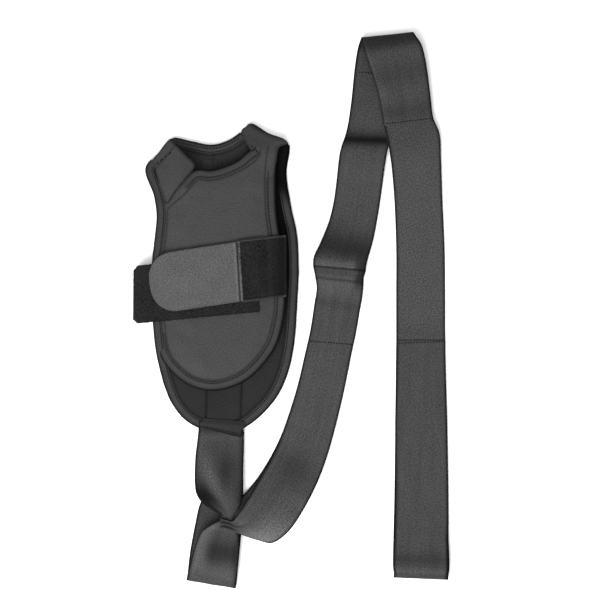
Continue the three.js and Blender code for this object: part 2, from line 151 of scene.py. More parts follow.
def arc(points):
    return np.concatenate([[0], np.cumsum(np.linalg.norm(np.diff(points, axis=0), axis=1))])


def unit(vectors):
    return vectors / np.linalg.norm(vectors, axis=1)[:, None]


def resample(points, step, closed=False):
    """The same line with points every step, or a whole number of steps round a closed loop."""
    p = np.vstack([points, points[:1]]) if closed else np.asarray(points, float)
    s = arc(p)
    n = max(2, int(round(s[-1] / step)))
    at = np.linspace(0, s[-1], n + 1)
    out = np.stack([np.interp(at, s, p[:, k]) for k in range(p.shape[1])], axis=1)
    return out[:-1] if closed else out


def smooth_loop(points, step=1.5, soften=2.5, crisp_above=None):
    """A closed outline through the points. Its corners are softened over some millimetres, and stay crisp
    above a level."""
    p = np.array(points, float)
    wrapped = np.vstack([p[-3:], p, p[:4]])
    n = len(wrapped) - 1
    t = np.linspace(3 / n, (3 + len(p)) / n, 40 * len(p), endpoint=False)
    loop = resample(spline(wrapped, t), step, closed=True)
    k = np.arange(-20, 21)

    def softened(size):
        weights = np.exp(-((k * step / size) ** 2) / 2)
        weights /= weights.sum()
        return sum(w * np.roll(loop, -int(j), axis=0) for j, w in zip(k, weights))

    out = softened(soften)
    if crisp_above is not None:
        share = ease((loop[:, 1:2] - crisp_above) / 12)
        out = out * (1 - share) + softened(1.0) * share
    return resample(out, step, closed=True)


def inward(loop):
    """Unit normals of a closed loop, pointing in."""
    along = unit(np.roll(loop, -1, axis=0) - np.roll(loop, 1, axis=0))
    area = np.sum(loop[:, 0] * np.roll(loop[:, 1], -1) - np.roll(loop[:, 0], -1) * loop[:, 1])
    normal = np.stack([-along[:, 1], along[:, 0]], axis=1)
    return normal if area > 0 else -normal


def part_of(loop, start, end, reach=0.0):
    """The stretch of a closed loop from its point nearest start to that nearest end, moved in by reach."""
    i, j = (int(np.linalg.norm(loop - p, axis=1).argmin()) for p in (start, end))
    pick = (i + np.arange((j - i) % len(loop) + 1)) % len(loop)
    return loop[pick] + inward(loop)[pick] * reach


def distance_to(loop, x, y, at_once=4000):
    """Distance from each point to a closed line, worked out for so many points at once."""
    edges = np.roll(loop, -1, axis=0) - loop
    length = np.linalg.norm(edges, axis=1)
    points = np.stack([np.ravel(x), np.ravel(y)], axis=1)
    best = np.empty(len(points))
    for i in range(0, len(points), at_once):
        q = points[i:i + at_once, None, :] - loop[None]
        t = np.clip((q * edges).sum(-1) / np.maximum(length**2, 1e-9), 0, 1)
        best[i:i + at_once] = np.linalg.norm(q - t[..., None] * edges, axis=-1).min(axis=1)
    return best.reshape(np.shape(x))


def inside(loop, x, y):
    x, y = np.ravel(x), np.ravel(y)
    hit = np.zeros(len(x), bool)
    for (x0, y0), (x1, y1) in zip(loop, np.roll(loop, -1, axis=0)):
        crosses = (y0 > y) != (y1 > y)
        with np.errstate(divide="ignore", invalid="ignore"):
            hit ^= crosses & (x < (x1 - x0) * (y - y0) / (y1 - y0) + x0)
    return hit


def rounded(edge, reach):
    """The profile of a rounded rim, from 0 at the edge to 1 where it reaches its full height."""
    return np.sqrt(np.clip(1 - (1 - np.minimum(edge / reach, 1)) ** 2, 0, 1))


def flat_level(z):
    return lambda x, y: z + 0 * x


def raised(level, lift):
    return lambda x, y: level(x, y) + lift


# ------------------------------------------------------------------ materials
def node(tree, kind, inputs=None, **settings):
    made = tree.nodes.new(kind)
    for key, value in settings.items():
        setattr(made, key, value)
    for key, value in (inputs or {}).items():
        if isinstance(value, bpy.types.NodeSocket):
            tree.links.new(value, made.inputs[key])
        else:
            made.inputs[key].default_value = value
    return made


def cloth(name, grey, roughness, *, specular=0.25, sheen=0.15, weave=0.7, weft=None, weave_depth=0.5,
          grain=0.5, mottle=0.12, speckle=0.1, streaks=0.0, relief=0.00018, shine=0.0):
    """A grey fabric. Its tone attribute scales its colour: it carries painted shade and painted light along
    seams, edges and folds, and the random tone of the pile's loops. weave is the thread pitch across it, and
    along it too unless weft says otherwise, and streaks run along the length of a webbing."""
    material = bpy.data.materials.new(name)
    material.use_nodes = True
    tree = material.node_tree
    shader = tree.nodes["Principled BSDF"]

    def maths(operation, a, b=0.0, c=0.0):
        return node(tree, "ShaderNodeMath", {0: a, 1: b, 2: c}, operation=operation).outputs[0]

    def times(a, b):
        return maths("MULTIPLY", a, b)

    def pattern(vector, scale, detail):
        inputs = {"Vector": vector, "Scale": scale, "Detail": detail}
        return node(tree, "ShaderNodeTexNoise", inputs).outputs[0]

    def varied(source, depth):
        """A factor that strays from 1 by that depth where the pattern strays from its middle."""
        return maths("MULTIPLY_ADD", source, 2 * depth, 1 - depth)

    def wave(place, pitch):
        return maths("SINE", times(place, TAU / pitch))

    uv = node(tree, "ShaderNodeUVMap", uv_map="Cloth").outputs[0]
    scaled = node(tree, "ShaderNodeMapping", {"Vector": uv, "Scale": (100, 100, 100)}).outputs[0]
    parts = node(tree, "ShaderNodeSeparateXYZ", {0: scaled})
    broad, middle, fine = pattern(scaled, 0.055, 3.0), pattern(scaled, 0.42, 2.0), pattern(scaled, 0.75, 4.0)
    tone = node(tree, "ShaderNodeAttribute", attribute_name="tone").outputs["Fac"]
    shade = times(times(varied(broad, mottle), varied(middle, mottle / 2)), varied(fine, speckle))
    rough = maths("MULTIPLY_ADD", middle, 0.12, roughness - 0.06)
    if streaks:
        stretched = node(tree, "ShaderNodeMapping", {"Vector": scaled, "Scale": (0.33, 0.011, 1)}).outputs[0]
        streak = pattern(stretched, 1.0, 3.0)
        shade = times(shade, varied(streak, streaks))
        rough = maths("MULTIPLY_ADD", streak, shine, rough)
    # Where the tone darkens the colour, as painted shade and in the pile's darker loops, the cloth is rougher
    # too, so its sheen dims there.
    painted_shade_and_dark_tone = node(tree, "ShaderNodeClamp", {"Value": maths("SUBTRACT", 1.0, tone)}).outputs[0]
    rough = maths("MULTIPLY_ADD", painted_shade_and_dark_tone, 0.5, rough)
    woven = times(wave(parts.outputs[0], weave), wave(parts.outputs[1], weft or weave))
    shade = times(times(shade, maths("MULTIPLY_ADD", woven, 0.1 * weave_depth, 1.0)), tone)
    base = node(tree, "ShaderNodeVectorMath", {0: (grey, grey, grey), "Scale": shade}, operation="SCALE")
    height = maths("MULTIPLY_ADD", woven, 0.5 * weave_depth, times(fine, 2 * grain))
    bump = node(tree, "ShaderNodeBump", {"Strength": 0.6, "Distance": relief, "Height": height})
    tree.links.new(base.outputs[0], shader.inputs["Base Color"])
    tree.links.new(rough, shader.inputs["Roughness"])
    tree.links.new(bump.outputs[0], shader.inputs["Normal"])
    shader.inputs["Specular IOR Level"].default_value = specular
    shader.inputs["Sheen Weight"].default_value = sheen
    shader.inputs["Sheen Roughness"].default_value = 0.5
    return material


SHELL = cloth("shell_cloth", 0.0342, 0.88, specular=0.1, sheen=0.08, weave=0.8, grain=0.9, speckle=0.8)
LINING = cloth("lining_cloth", 0.0148, 0.92, specular=0.05, sheen=0.04, weave=0.9, grain=0.9, mottle=0.16,
               speckle=0.8)
TAPE = cloth("binding_tape", 0.0308, 0.78, specular=0.04, sheen=0.0, grain=0.6, mottle=0.18, speckle=0.6)
WEB = cloth("satin_webbing", 0.0292, 0.42, specular=0.08, sheen=0.0, weave=0.55, weft=0.8, weave_depth=0.6,
            grain=0.35, mottle=0.16, speckle=1.5, streaks=0.25, shine=-0.2, relief=0.00012)
MATTE = cloth("brushed_pile_tape", 0.041, 0.92, specular=0.12, sheen=0.1, weave=0.6, weave_depth=0.2,
              grain=1.2, speckle=1.5, relief=0.00035)
PILE = cloth("black_loop_pile", 0.0112, 0.95, specular=0.08, sheen=0.03, weave_depth=0.2, grain=1.2,
             mottle=0.35, speckle=2.0, relief=0.0004)
TAB = cloth("hook_tab_cloth", 0.058, 0.9, specular=0.12, sheen=0.08, weave_depth=0.35, grain=1.0, mottle=0.2,
            speckle=1.3)
HOOKS = cloth("hook_tape", 0.014, 0.55, specular=0.4, sheen=0.0, weave=1.0, weave_depth=1.0, grain=0.3,
              mottle=0.05)
EDGE = cloth("closure_edge_tape", 0.085, 0.8, weave=0.6, grain=0.6, mottle=0.2, speckle=0.25)
THREAD = cloth("sewing_thread", 0.004, 0.8, specular=0.1, sheen=0.0, weave=0.25, grain=0.3, relief=0.00005)
LABEL = cloth("label_satin", 0.0125, 0.6, specular=0.2, weave=0.4, mottle=0.1)


# ------------------------------------------------------------------ meshes
def make(name, points, faces, material, uv=None, tone=None, sharp=60):
    """A smooth mesh. uv is where its points lie on the cloth, and edges over sharp degrees stay crisp."""
    points = np.asarray(points, float)
    mesh = bpy.data.meshes.new(name)
    mesh.from_pydata((points * MM).tolist(), [], outward(points, faces))
    mesh.update()
    corners = np.empty(len(mesh.loops), np.int32)
    mesh.loops.foreach_get("vertex_index", corners)
    where = (points[:, :2] if uv is None else np.asarray(uv, float)) * UV_SCALE
    mesh.uv_layers.new(name="Cloth").data.foreach_set("uv", where[corners].astype(np.float32).ravel())
    values = np.ones(len(points)) if tone is None else np.ravel(tone)
    mesh.attributes.new("tone", "FLOAT", "POINT").data.foreach_set("value", values.astype(np.float32))
    mesh.polygons.foreach_set("use_smooth", np.ones(len(mesh.polygons), bool))
    if sharp:
        mesh.set_sharp_from_angle(angle=math.radians(sharp))
    mesh.materials.append(material)
    obj = bpy.data.objects.new(name, mesh)
    bpy.context.scene.collection.objects.link(obj)
    return obj


def outward(points, faces):
    """Turns all faces over if the closed mesh is inside out."""
    tri = np.array([f[:3] for f in faces])
    a, b, c = points[tri[:, 0]], points[tri[:, 1]], points[tri[:, 2]]
    return faces if (a * np.cross(b, c)).sum() > 0 else [f[::-1] for f in faces]


def cells(index):
    """The four-cornered faces of a grid of point numbers."""
    return np.stack([index[:-1, :-1], index[1:, :-1], index[1:, 1:], index[:-1, 1:]], axis=-1).reshape(-1, 4)


def tube(rings, sides, first=0):
    """Faces of a tube with capped ends, whose points come ring by ring from the first."""
    faces = []
    last = first + (rings - 1) * sides
    for a in range(first, last, sides):
        b = a + sides
        faces += [(a + k, a + (k + 1) % sides, b + (k + 1) % sides, b + k) for k in range(sides)]
    return faces + [tuple(range(first, first + sides))[::-1], tuple(range(last, last + sides))]


def both_faces(upper, lower):
    """Values round a flat section: across its upper face and back across its lower one."""
    return np.concatenate([upper, lower[:, 1:-1][:, ::-1]], axis=1)


PAD_RINGS = (0.25, 0.7, 1.3, 2.1, 3.1, 4.2, 5.4, 6.6, 7.7, 8.6, 9.4, 10.1, 10.9, 11.8, 12.9, 14.2)


def pad(name, loop, top, bottom, material, shade, spacing=1.6, rings=PAD_RINGS, edge=3.0):
    """A closed padded piece inside an outline. bottom gets x and y, top and shade get the distance to the
    edge too. The faces meet in a rounded rim, and rings of points follow the outline before the even grid."""
    normal = inward(loop)
    layers = [loop]
    for reach in rings:
        moved = loop + normal * reach
        layers.append(moved[(distance_to(loop, *moved.T) > 0.93 * reach) & inside(loop, *moved.T)])
    lo, hi = loop.min(axis=0), loop.max(axis=0)
    row = spacing * math.sqrt(3) / 2
    gy, gx = np.meshgrid(np.arange(lo[1], hi[1], row), np.arange(lo[0], hi[0], spacing), indexing="ij")
    gx = gx + (np.arange(gx.shape[0]) % 2)[:, None] * spacing / 2
    grid = np.stack([gx.ravel(), gy.ravel()], axis=1)
    grid = grid[inside(loop, *grid.T)]
    layers.append(grid[distance_to(loop, *grid.T) > rings[-1] + 0.6 * spacing])
    n = len(loop)
    outline = [(i, (i + 1) % n) for i in range(n)]
    spots = [Vector(p) for p in np.vstack(layers)]
    verts, _, tris, *_ = geometry.delaunay_2d_cdt(spots, outline, [], 1, 1e-4)
    flat, tris = np.array([v[:] for v in verts]), np.array([t[:] for t in tris])
    x, y = flat.T
    d = distance_to(loop, x, y)
    under = d >= 1e-3
    high, low = top(x, y, d), bottom(x, y)
    middle, half = (high + low) / 2, (high - low) / 2
    half_here = half * rounded(d, np.minimum(edge, half * 1.3 + 0.2))
    upper, lower = np.column_stack([flat, middle + half_here]), np.column_stack([flat, middle - half_here])
    index = np.where(under, len(flat) + np.cumsum(under) - 1, np.arange(len(flat)))
    faces = [tuple(t) for t in tris] + [tuple(index[t][::-1]) for t in tris]
    tone = shade(x, y, d)
    tone = np.concatenate([tone, tone[under]])
    return make(name, np.vstack([upper, lower[under]]), faces, material, tone=tone)


def sweep(name, path, sections, material, across, tone):
    """Joins cross-sections, each a closed ring of the same number of points, into one skin. across is where
    each point of a ring lies across the cloth."""
    n, m = sections.shape[:2]
    uv = np.stack([np.broadcast_to(across, (n, m)), np.broadcast_to(arc(path)[:, None], (n, m))], axis=-1)
    return make(name, sections.reshape(-1, 3), tube(n, m), material, uv=uv.reshape(-1, 2), tone=tone)


NARROW_BAND = 12.0  # below this width a band is an edge tape, with its own finer section
WIDER = 0.8  # the webbing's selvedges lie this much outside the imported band
SELVEDGE = (0.97, 2.1, 2.5)  # how dark, how wide and how steep the shade along the selvedges is
NARROW_SELVEDGE = (0.95, 1.6, 2)


def cross_places(width):
    """Where the points lie across a webbing, close together at the selvedges."""
    if width < NARROW_BAND:
        return width * (1 - np.cos(np.linspace(0, math.pi, 11))) / 2
    rim = [0, 0.05, 0.15, 0.35, 0.9, 1.8, 3.0]
    inner = np.linspace(4.6, width - 4.6, 22)
    return np.concatenate([rim, inner, [width - r for r in rim[::-1]]])


def ribbon(name, stations, material, *, thickness=WEBBING, width=WEBBING_WIDTH, cut=(0.0, 1.0), step=1.6,
           ripple=0.22, seed=1, pleats=2.5, gather=1.7, shape=None, tones=None, fuzz=0.0):
    """A band through stations [x, y, z of its middle, width, angle of its width]. Where a station is narrower
    than the band's own width the cloth gathers into pleats. shape and tones get places across as a row, and
    what changes along the band as columns. Returns the object and its length."""
    line, spread = [q[:3] for q in stations], [q[3:5] for q in stations]
    t = np.linspace(*cut, 4000)
    d = np.diff(spline(line, t), axis=0)
    ds = np.linalg.norm(d, axis=1)
    way = d / np.maximum(ds[:, None], 1e-9)
    turn = np.concatenate([[0], np.arccos(np.clip((way[1:] * way[:-1]).sum(1), -1, 1))])
    load = np.concatenate([[0], np.cumsum(ds / step + turn / math.radians(9))])
    n = int(load[-1]) + 2
    pick = np.interp(np.linspace(0, load[-1], n), load, t)
    centre = spline(line, pick)
    size, angle = np.split(spline(spread, pick) + [WIDER, 0], 2, axis=1)
    small = 1e-4
    along = unit(spline(line, np.minimum(pick + small, 1)) - spline(line, np.maximum(pick - small, 0)))
    angle = np.radians(angle)
    across = np.concatenate([np.cos(angle), np.sin(angle), 0 * angle], axis=1)
    normal = unit(np.cross(along, across))
    places = cross_places(width)[None]
    v, s = places / width, arc(centre)[:, None]
    edge = np.minimum(places, width - places)
    half = thickness / 2 * rounded(edge, 0.35)
    narrow = np.clip((width - size) / width, 0, 1)
    lift = (gather * narrow * np.sin(TAU * pleats * v + 0.8 + 0.01 * s)
            + ripple * noise(v * 60, s * 0.35, 10, seed) + 0.5 * ripple * noise(v * 60, s, 7, seed + 3)
            + fuzz * noise(places, s, 0.9, seed + 7))
    offset = (v - 0.5) * size
    base = centre[:, None] + across[:, None] * offset[..., None] + normal[:, None] * lift[..., None]
    if shape is not None:
        base = shape(base, v, s)
    thick = normal[:, None] * half[..., None]
    ring = both_faces(base + thick, base - thick)
    ring[..., 2] = np.maximum(ring[..., 2], LOWEST)
    dark, reach, steep = NARROW_SELVEDGE if width < NARROW_BAND else SELVEDGE
    tone = np.broadcast_to(1 - dark * np.exp(-(edge / reach) ** steep), lift.shape)
    if tones is not None:
        tone = tone * tones(*np.split(centre, 3, axis=1), v)
    obj = sweep(name, centre, ring, material, both_faces(places, places), both_faces(tone, tone))
    return obj, float(s[-1, 0])


def binding(name, nodes, path, foot, top, seed, tones=None, fade=None):
    """A folded edge tape with the panel on the right of its path: it wraps the edge from under the panel to
    over it, and is sewn down near its own edges. Where fade falls to 0 it sinks into the panel."""
    path = resample(path, 1.5)
    along = unit(np.gradient(path, axis=0))
    normal = np.stack([along[:, 1], -along[:, 0]], axis=1)
    s = arc(path)[:, None]
    legs = BINDING_LEG - np.array([0, 0.25, 0.7, 1.2, 1.6, 2.0, 2.6, 3.4, 4.4, 5.4, 6.4])
    nose = np.radians(np.arange(75, -76, -15))
    turn, bow, ones = np.sin(nose), 1 - np.cos(nose), np.ones(len(legs))
    reach = np.concatenate([legs, 2.5 * bow, legs[::-1], legs, BINDING_TAPE + 1.9 * bow, legs[::-1]])
    w = np.concatenate([ones, (1 + turn) / 2, 0 * ones, 0 * ones, (1 - turn) / 2, ones])
    inset = BINDING_TAPE * np.concatenate([0 * ones, 0 * turn, 0 * ones, ones, turn, -ones])
    outer = np.repeat([1.0, 0.0], len(reach) // 2)
    sewn, lip = bump_at(reach, BINDING_LEG - 1.6, 0.5), bump_at(reach, BINDING_LEG, 0.35)
    pucker = 0.16 * noise(s, reach[None] * 0.6, 3.2, seed) + 0.2 * noise(s, reach[None] * 0.25, 9, seed + 5)
    lift = outer * ((1 - sewn) * pucker - 0.45 * sewn - 0.25 * lip)
    sign, flatness = np.where(w > 0.5, 1, -1), np.abs(2 * w - 1)
    x, y = path[:, :1] + normal[:, :1] * reach, path[:, 1:] + normal[:, 1:] * reach
    low, high = foot(x, y), top(x, y)
    z = low + (high - low) * w + inset + sign * lift * flatness
    wave = outer * 0.18 * noise(s, w[None] * 4, 6, seed + 9) * (1 - flatness)
    x, y = x + normal[:, :1] * wave, y + normal[:, 1:] * wave
    shown = np.ones(z.shape) if fade is None else fade(x, y)
    z = z - np.where(w > 0.5, 2.2 * (1 - shown), 0)
    ring = np.stack([x, y, np.maximum(z, LOWEST)], axis=-1)
    # Painted shade along the sewn row, at the tape's inner lip and round its folded outer edge.
    tone = 1 - shown * (0.5 * sewn + 0.55 * lip) - 0.96 * np.exp(-(reach / 2.3) ** 2.2)
    if tones is not None:
        tone = tone * tones(x, y)
    tape = sweep(name, path, ring, TAPE, reach * sign, tone)
    place(tape, "binding_tape", *nodes, body="cradle")


STITCH_SIDES = 6
# Along a stitch: how far as a share of its length, then how thick and how high over the row, in radii.
STITCH_PROFILE = ((0.0, 0.35, -0.5), (0.12, 0.85, 0.1), (0.5, 1.0, 0.45), (0.88, 0.85, 0.1),
                  (1.0, 0.35, -0.5))


def threads(name, slot, rows, pitch=3.4, length=2.4, radius=0.42, **where):
    """Sewn rows: each stitch is a short arched thread whose ends sink into the cloth. where gives the body
    they follow, or a hinge, for which place() only keeps them where they are."""
    points, faces, uv = [], [], []
    for row in rows:
        s = arc(row)
        count = int(s[-1] // pitch)
        for i in range(count):
            start = (s[-1] - count * pitch) / 2 + i * pitch + (pitch - length) / 2
            ends = [np.array([np.interp(start + f * length, s, row[:, k]) for k in range(3)]) for f in (0, 1)]
            way = ends[1] - ends[0]
            way /= np.linalg.norm(way)
            out = np.cross(way, (0, 0, 1.0))
            out /= max(np.linalg.norm(out), 1e-6)
            up = np.cross(out, way)
            faces += tube(len(STITCH_PROFILE), STITCH_SIDES, first=len(points))
            for f, size, rise in STITCH_PROFILE:
                c = ends[0] * (1 - f) + ends[1] * f + up * rise * radius
                for k in range(STITCH_SIDES):
                    a = TAU * k / STITCH_SIDES
                    points.append(c + radius * size * (out * math.cos(a) + up * math.sin(a)))
                    uv.append((f * length + i, a))
    place(make(name, points, faces, THREAD, uv=uv, sharp=0), slot, **where)


def on_surface(path, height, lift=0.0):
    """A line with its points every millimetre, laid on a surface."""
    x, y = resample(path, 1.0).T
    return np.column_stack([x, y, height(x, y) + lift])


# ------------------------------------------------------------------ cloth simulation of the padded panels
SIM_FRAMES = 20
# The cloth settings that all covers share.
COVER = {"quality": 6, "mass": 0.15, "air_damping": 4.0, "tension_stiffness": 12.0,
         "compression_stiffness": 12.0, "shear_stiffness": 4.0, "bending_stiffness": 0.4,
         "vertex_group_mass": "sewn", "use_pressure": True}


def swell(name, loop, level, held, *, pressure, grow, cap, cell=4.5):
    """Simulates a panel's cover over its filling: the cloth is a little larger than the panel, is held where
    it is sewn or pressed, and is pushed out from inside. Returns how far it rises at x, y, in millimetres."""
    low = loop.min(axis=0) - 2 * cell
    count = np.ceil((loop.max(axis=0) + 2 * cell - low) / cell).astype(int) + 1
    x, y = np.meshgrid(*(low[k] + cell * np.arange(count[k]) for k in (0, 1)), indexing="ij")
    used = inside(loop, x, y).reshape(x.shape)
    index = np.full(x.shape, -1)
    index[used] = np.arange(used.sum())
    start = np.column_stack([x[used], y[used], level(x[used], y[used])]) * MM
    squares = cells(index)
    mesh = bpy.data.meshes.new(name)
    mesh.from_pydata(start.tolist(), [], squares[(squares >= 0).all(axis=1)].tolist())
    cover = bpy.data.objects.new(name, mesh)
    bpy.context.scene.collection.objects.link(cover)
    group = cover.vertex_groups.new(name="sewn")
    group.add(np.flatnonzero(held(x[used], y[used])).tolist(), 1.0, "REPLACE")
    modifier = cover.modifiers.new("cover", "CLOTH")
    for key, value in {**COVER, "uniform_pressure_force": pressure, "shrink_min": -grow}.items():
        setattr(modifier.settings, key, value)
    modifier.settings.effector_weights.gravity = 0.0
    modifier.collision_settings.use_collision = False
    modifier.point_cache.frame_start, modifier.point_cache.frame_end = 1, SIM_FRAMES
    for number in range(1, SIM_FRAMES + 1):
        bpy.context.scene.frame_set(number)
    settled = cover.evaluated_get(bpy.context.evaluated_depsgraph_get()).data
    ends = np.empty(len(settled.vertices) * 3, np.float32)
    settled.vertices.foreach_get("co", ends)
    rise = (ends.reshape(-1, 3)[:, 2] - start[:, 2]) / MM
    bpy.data.objects.remove(cover)
    bpy.context.scene.frame_set(1)
    field = np.zeros(x.shape)
    field[used] = cap * np.tanh(rise / cap)

    def gain(px, py):
        """The simulated rise between the grid's points, by cubic B-spline."""
        u, v = (np.asarray(px, float) - low[0]) / cell, (np.asarray(py, float) - low[1]) / cell
        i = np.clip(np.floor(u).astype(int), 1, count[0] - 3)
        j = np.clip(np.floor(v).astype(int), 1, count[1] - 3)
        total = 0
        for a in range(-1, 3):
            for b in range(-1, 3):
                total = total + field[i + a, j + b] * hat(u - i - a) * hat(v - j - b)
        return total

    return gain


def hat(t):
    """The cubic B-spline's weight at a distance t."""
    t = np.abs(t)
    return np.where(t < 1, 2 / 3 - t**2 + t**3 / 2, np.clip(2 - t, 0, 1) ** 3 / 6)


# ------------------------------------------------------------------ levels of the cradle's surfaces
def front_underside(x, y):
    rise = ease((x - x_at(SEWN_SIDE, y)) / 40)
    free = 0.7 + 0.3 * ease((x_at(FREE_SIDE, y) - x) / 30)
    foot = 0.8 + 0.2 * ease((y + 83) / 30)
    neck = 0.8 + 0.2 * ease((150 - y) / 30)
    level = FRONT_SEAT + ARM_ROOM * rise * free * foot * neck
    shoulder = ease(((y - 160) + 0.3 * (x + 30)) / 20) * ease((x + 60) / 12)
    return level * (1 - shoulder) + 6.2 * shoulder


def closure_line(x, y):
    """Signed distance from the middle line of the closure and the loop strip."""
    tilt = math.radians(CLOSURE_TILT - 1)
    return (y - 29) * math.cos(tilt) - (x + 80) * math.sin(tilt)


front_top = raised(front_underside, FRONT_STACK)


def crossing_top(x, y):
    near_sewn = 1 - ease((x - x_at(SEWN_SIDE, y) - 8) / 8)
    near_free = 1 - ease((x_at(FREE_SIDE, y) - x - 8) / 8)
    return front_top(x, y) + 0.6 + 1.4 * np.maximum(near_sewn, near_free)


def closure_base(x, y):
    return crossing_top(x, y) + 2.4 * ease((-25 - x) / 8)


def strip_base(x, y):
    past = np.maximum(0, x_at(SEWN_SIDE, y) - x)
    return crossing_top(x, y) - 0.012 * past * past


# ------------------------------------------------------------------ back panel
back_loop = smooth_loop(BACK_LOOP, crisp_above=122)
back_loop = back_loop - inward(back_loop) * 0.5
BACK_CHANNELS = (-87.0, -51.5)  # X of the sewn channels at y = -90, for they lean a little
SEWN_BORDER = 10.5  # the edge tape holds a cover this far in


def channel_at(channel, y):
    return channel + 0.03 * (y + 90)


def back_held(x, y):
    seam = np.min([np.abs(x - channel_at(c, y)) for c in BACK_CHANNELS], axis=0)
    return (distance_to(back_loop, x, y) < SEWN_BORDER) | (seam < 1.8)


back_gain = swell("lining_cover", back_loop, flat_level(BACK_TOP), back_held, pressure=2.0, grow=0.008,
                  cap=0.7, cell=3.5)


def back_surface(x, y, d=None):
    if d is None:
        d = distance_to(back_loop, x, y)
    under_tape = 1 - ease((d - 9.6) / 1.2)
    body = BACK_TOP - 0.1 + 0.3 * ease((d - 10) / 12) + back_gain(x, y) * ease((d - 9) / 3)
    for channel in BACK_CHANNELS:
        body = body - 0.9 * bump_at(x, channel_at(channel, y), 1.3) * ease((d - 10) / 6)
    body = body + 0.18 * noise(x, y, 16, 3) + 0.1 * noise(x, y, 6, 4)
    return body * (1 - under_tape) + (BACK_TOP - 0.95) * under_tape


def back_tone(x, y, d):
    """Shade beside the tape, in the channels and in the gap under the front panel's free edge."""
    tone = 1 - 0.35 * bump_at(d, 10.4, 0.9)
    for channel in BACK_CHANNELS:
        tone = tone - 0.45 * bump_at(x, channel_at(channel, y), 1.1)
    gap = ease((x - x_at(FREE_SIDE, y) + 7) / 4) * ease((y + 20) / 60)
    return tone * (1 - 0.78 * gap) * (1 + 0.25 * ease((y - 128) / 12))


back_body = pad("back_panel", back_loop + inward(back_loop) * 0.8, back_surface, flat_level(0.35), LINING,
                back_tone)
place(back_body, "lining_fabric", "back_shell", "back_foam", "back_lining", body="cradle", fill=0.7)


def flap_side(x, y):
    """Beside the shoulder flap the tape drops to the fold at the shoulder's end."""
    return 8.4 + 0.16 * np.maximum(0, 150 - y)


def rim_top(x, y):
    """The edge tape's upper level: over both panels along the sewn side, over the back panel elsewhere."""
    both = front_top(np.maximum(x, x_at(SEWN_SIDE, y)), y) + 1.3
    alone = ease((-38 - y) / 26) + ease((x + 118) / 14)
    share = np.clip(alone, 0, 1)
    fold = ease((y - 104) / 16) * (1 - share)
    both = both * (1 - fold) + np.minimum(both, flap_side(x, y)) * fold
    return both * (1 - share) + (BACK_TOP + 0.1) * share


def painted_shoulder_shade(x, y):
    """Painted shade on the tape beside the right shoulder, next to the front panel's free edge."""
    return 1 - 0.9 * ease((y - 108 + 0.9 * (x + 12)) / 22) * ease((x + 30) / 8)


rim_path = part_of(back_loop, (-4, 168), (-143, 152))
# The back rim's tape gets painted shade beside the right shoulder.
binding("back_edge_binding", ["back_binding", "side_binding"], rim_path, flat_level(0), rim_top, seed=2,
        tones=painted_shoulder_shade)
neck_path = part_of(back_loop, (-121, 174), (-52, 179.5))
binding("back_neck_binding_tape", ["back_neck_binding"], neck_path, flat_level(0), flat_level(BACK_TOP + 0.3),
        seed=4)

# ------------------------------------------------------------------ front panel
front_loop = smooth_loop(FRONT_LOOP, step=1.2, soften=7.0, crisp_above=112)


def on_shoulder(x, y):
    """1 on the right shoulder, whose edge has no tape."""
    return ease((y - 0.35 * (x + 38) - 158) / 7) * ease((x + 58) / 6)


PRESSED = 31  # so far from its middle line the closure presses the front panel flat


def front_held(x, y):
    sewn = distance_to(front_loop, x, y) < SEWN_BORDER
    return sewn | (np.abs(closure_line(x, y)) < PRESSED + 1) | (on_shoulder(x, y) > 0.6)


front_gain = swell("front_cover", front_loop, front_top, front_held, pressure=3.0, grow=0.012, cap=1.6)


def front_surface(x, y, d):
    bare = on_shoulder(x, y)
    under_tape = (1 - ease((d - 9.4) / 1.4)) * (1 - bare)
    pressed = 1 - ease((np.abs(closure_line(x, y)) - PRESSED) / 12)
    puff = (0.5 * ease((d - 10) / 16) * (1 - bare) + 0.9 * bare * ease(d / 6)) * (1 - 0.75 * pressed)
    puff = puff + front_gain(x, y) * ease((d - 9) / 3)
    relief = (0.12 + 0.5 * bare) * noise(x, y, 22, 11) + (0.1 + 0.3 * bare) * noise(x, y, 8, 12)
    return front_top(x, y) - 0.15 + (puff + relief * (1 - pressed)) * (1 - under_tape) - 0.3 * under_tape


def front_tone(x, y, d):
    """Shade along the edge and beside its tape, a little under the closure and on the shoulder."""
    pressed = 1 - ease((np.abs(closure_line(x, y)) - PRESSED + 1) / 5)
    bare = on_shoulder(x, y)
    groove = 0.5 * bump_at(d, 10.2, 0.9) * (1 - bare)
    return (1 - groove) * (1 - 0.1 * pressed) * (1 - 0.9 * np.exp(-(d / 1.5) ** 1.3)) * (1 - 0.12 * bare)


front_edge_foot, front_edge_top = raised(front_underside, -0.9), raised(front_top, 0.75)
front_body = pad("front_panel", front_loop + inward(front_loop) * 0.8, front_surface,
                 raised(front_underside, -0.1), SHELL, front_tone)
place(front_body, "shell_fabric", "front_lining", "front_foam", "front_shell", "right_shoulder_tab",
      body="cradle", fill=0.6)

free_path = part_of(front_loop, (-14.8, 150), (-138, -26))
binding("front_edge_binding", ["front_binding"], free_path, front_edge_foot, front_edge_top, seed=6,
        fade=lambda x, y: ease((143 - y) / 16))
neckline_path = np.vstack([part_of(front_loop, (-112, 129), (-53, 153)), [(-46.5, 158.6), (-38.5, 165.0)]])
binding("neckline_binding", ["neck_binding"], neckline_path, front_edge_foot, front_edge_top, seed=8)

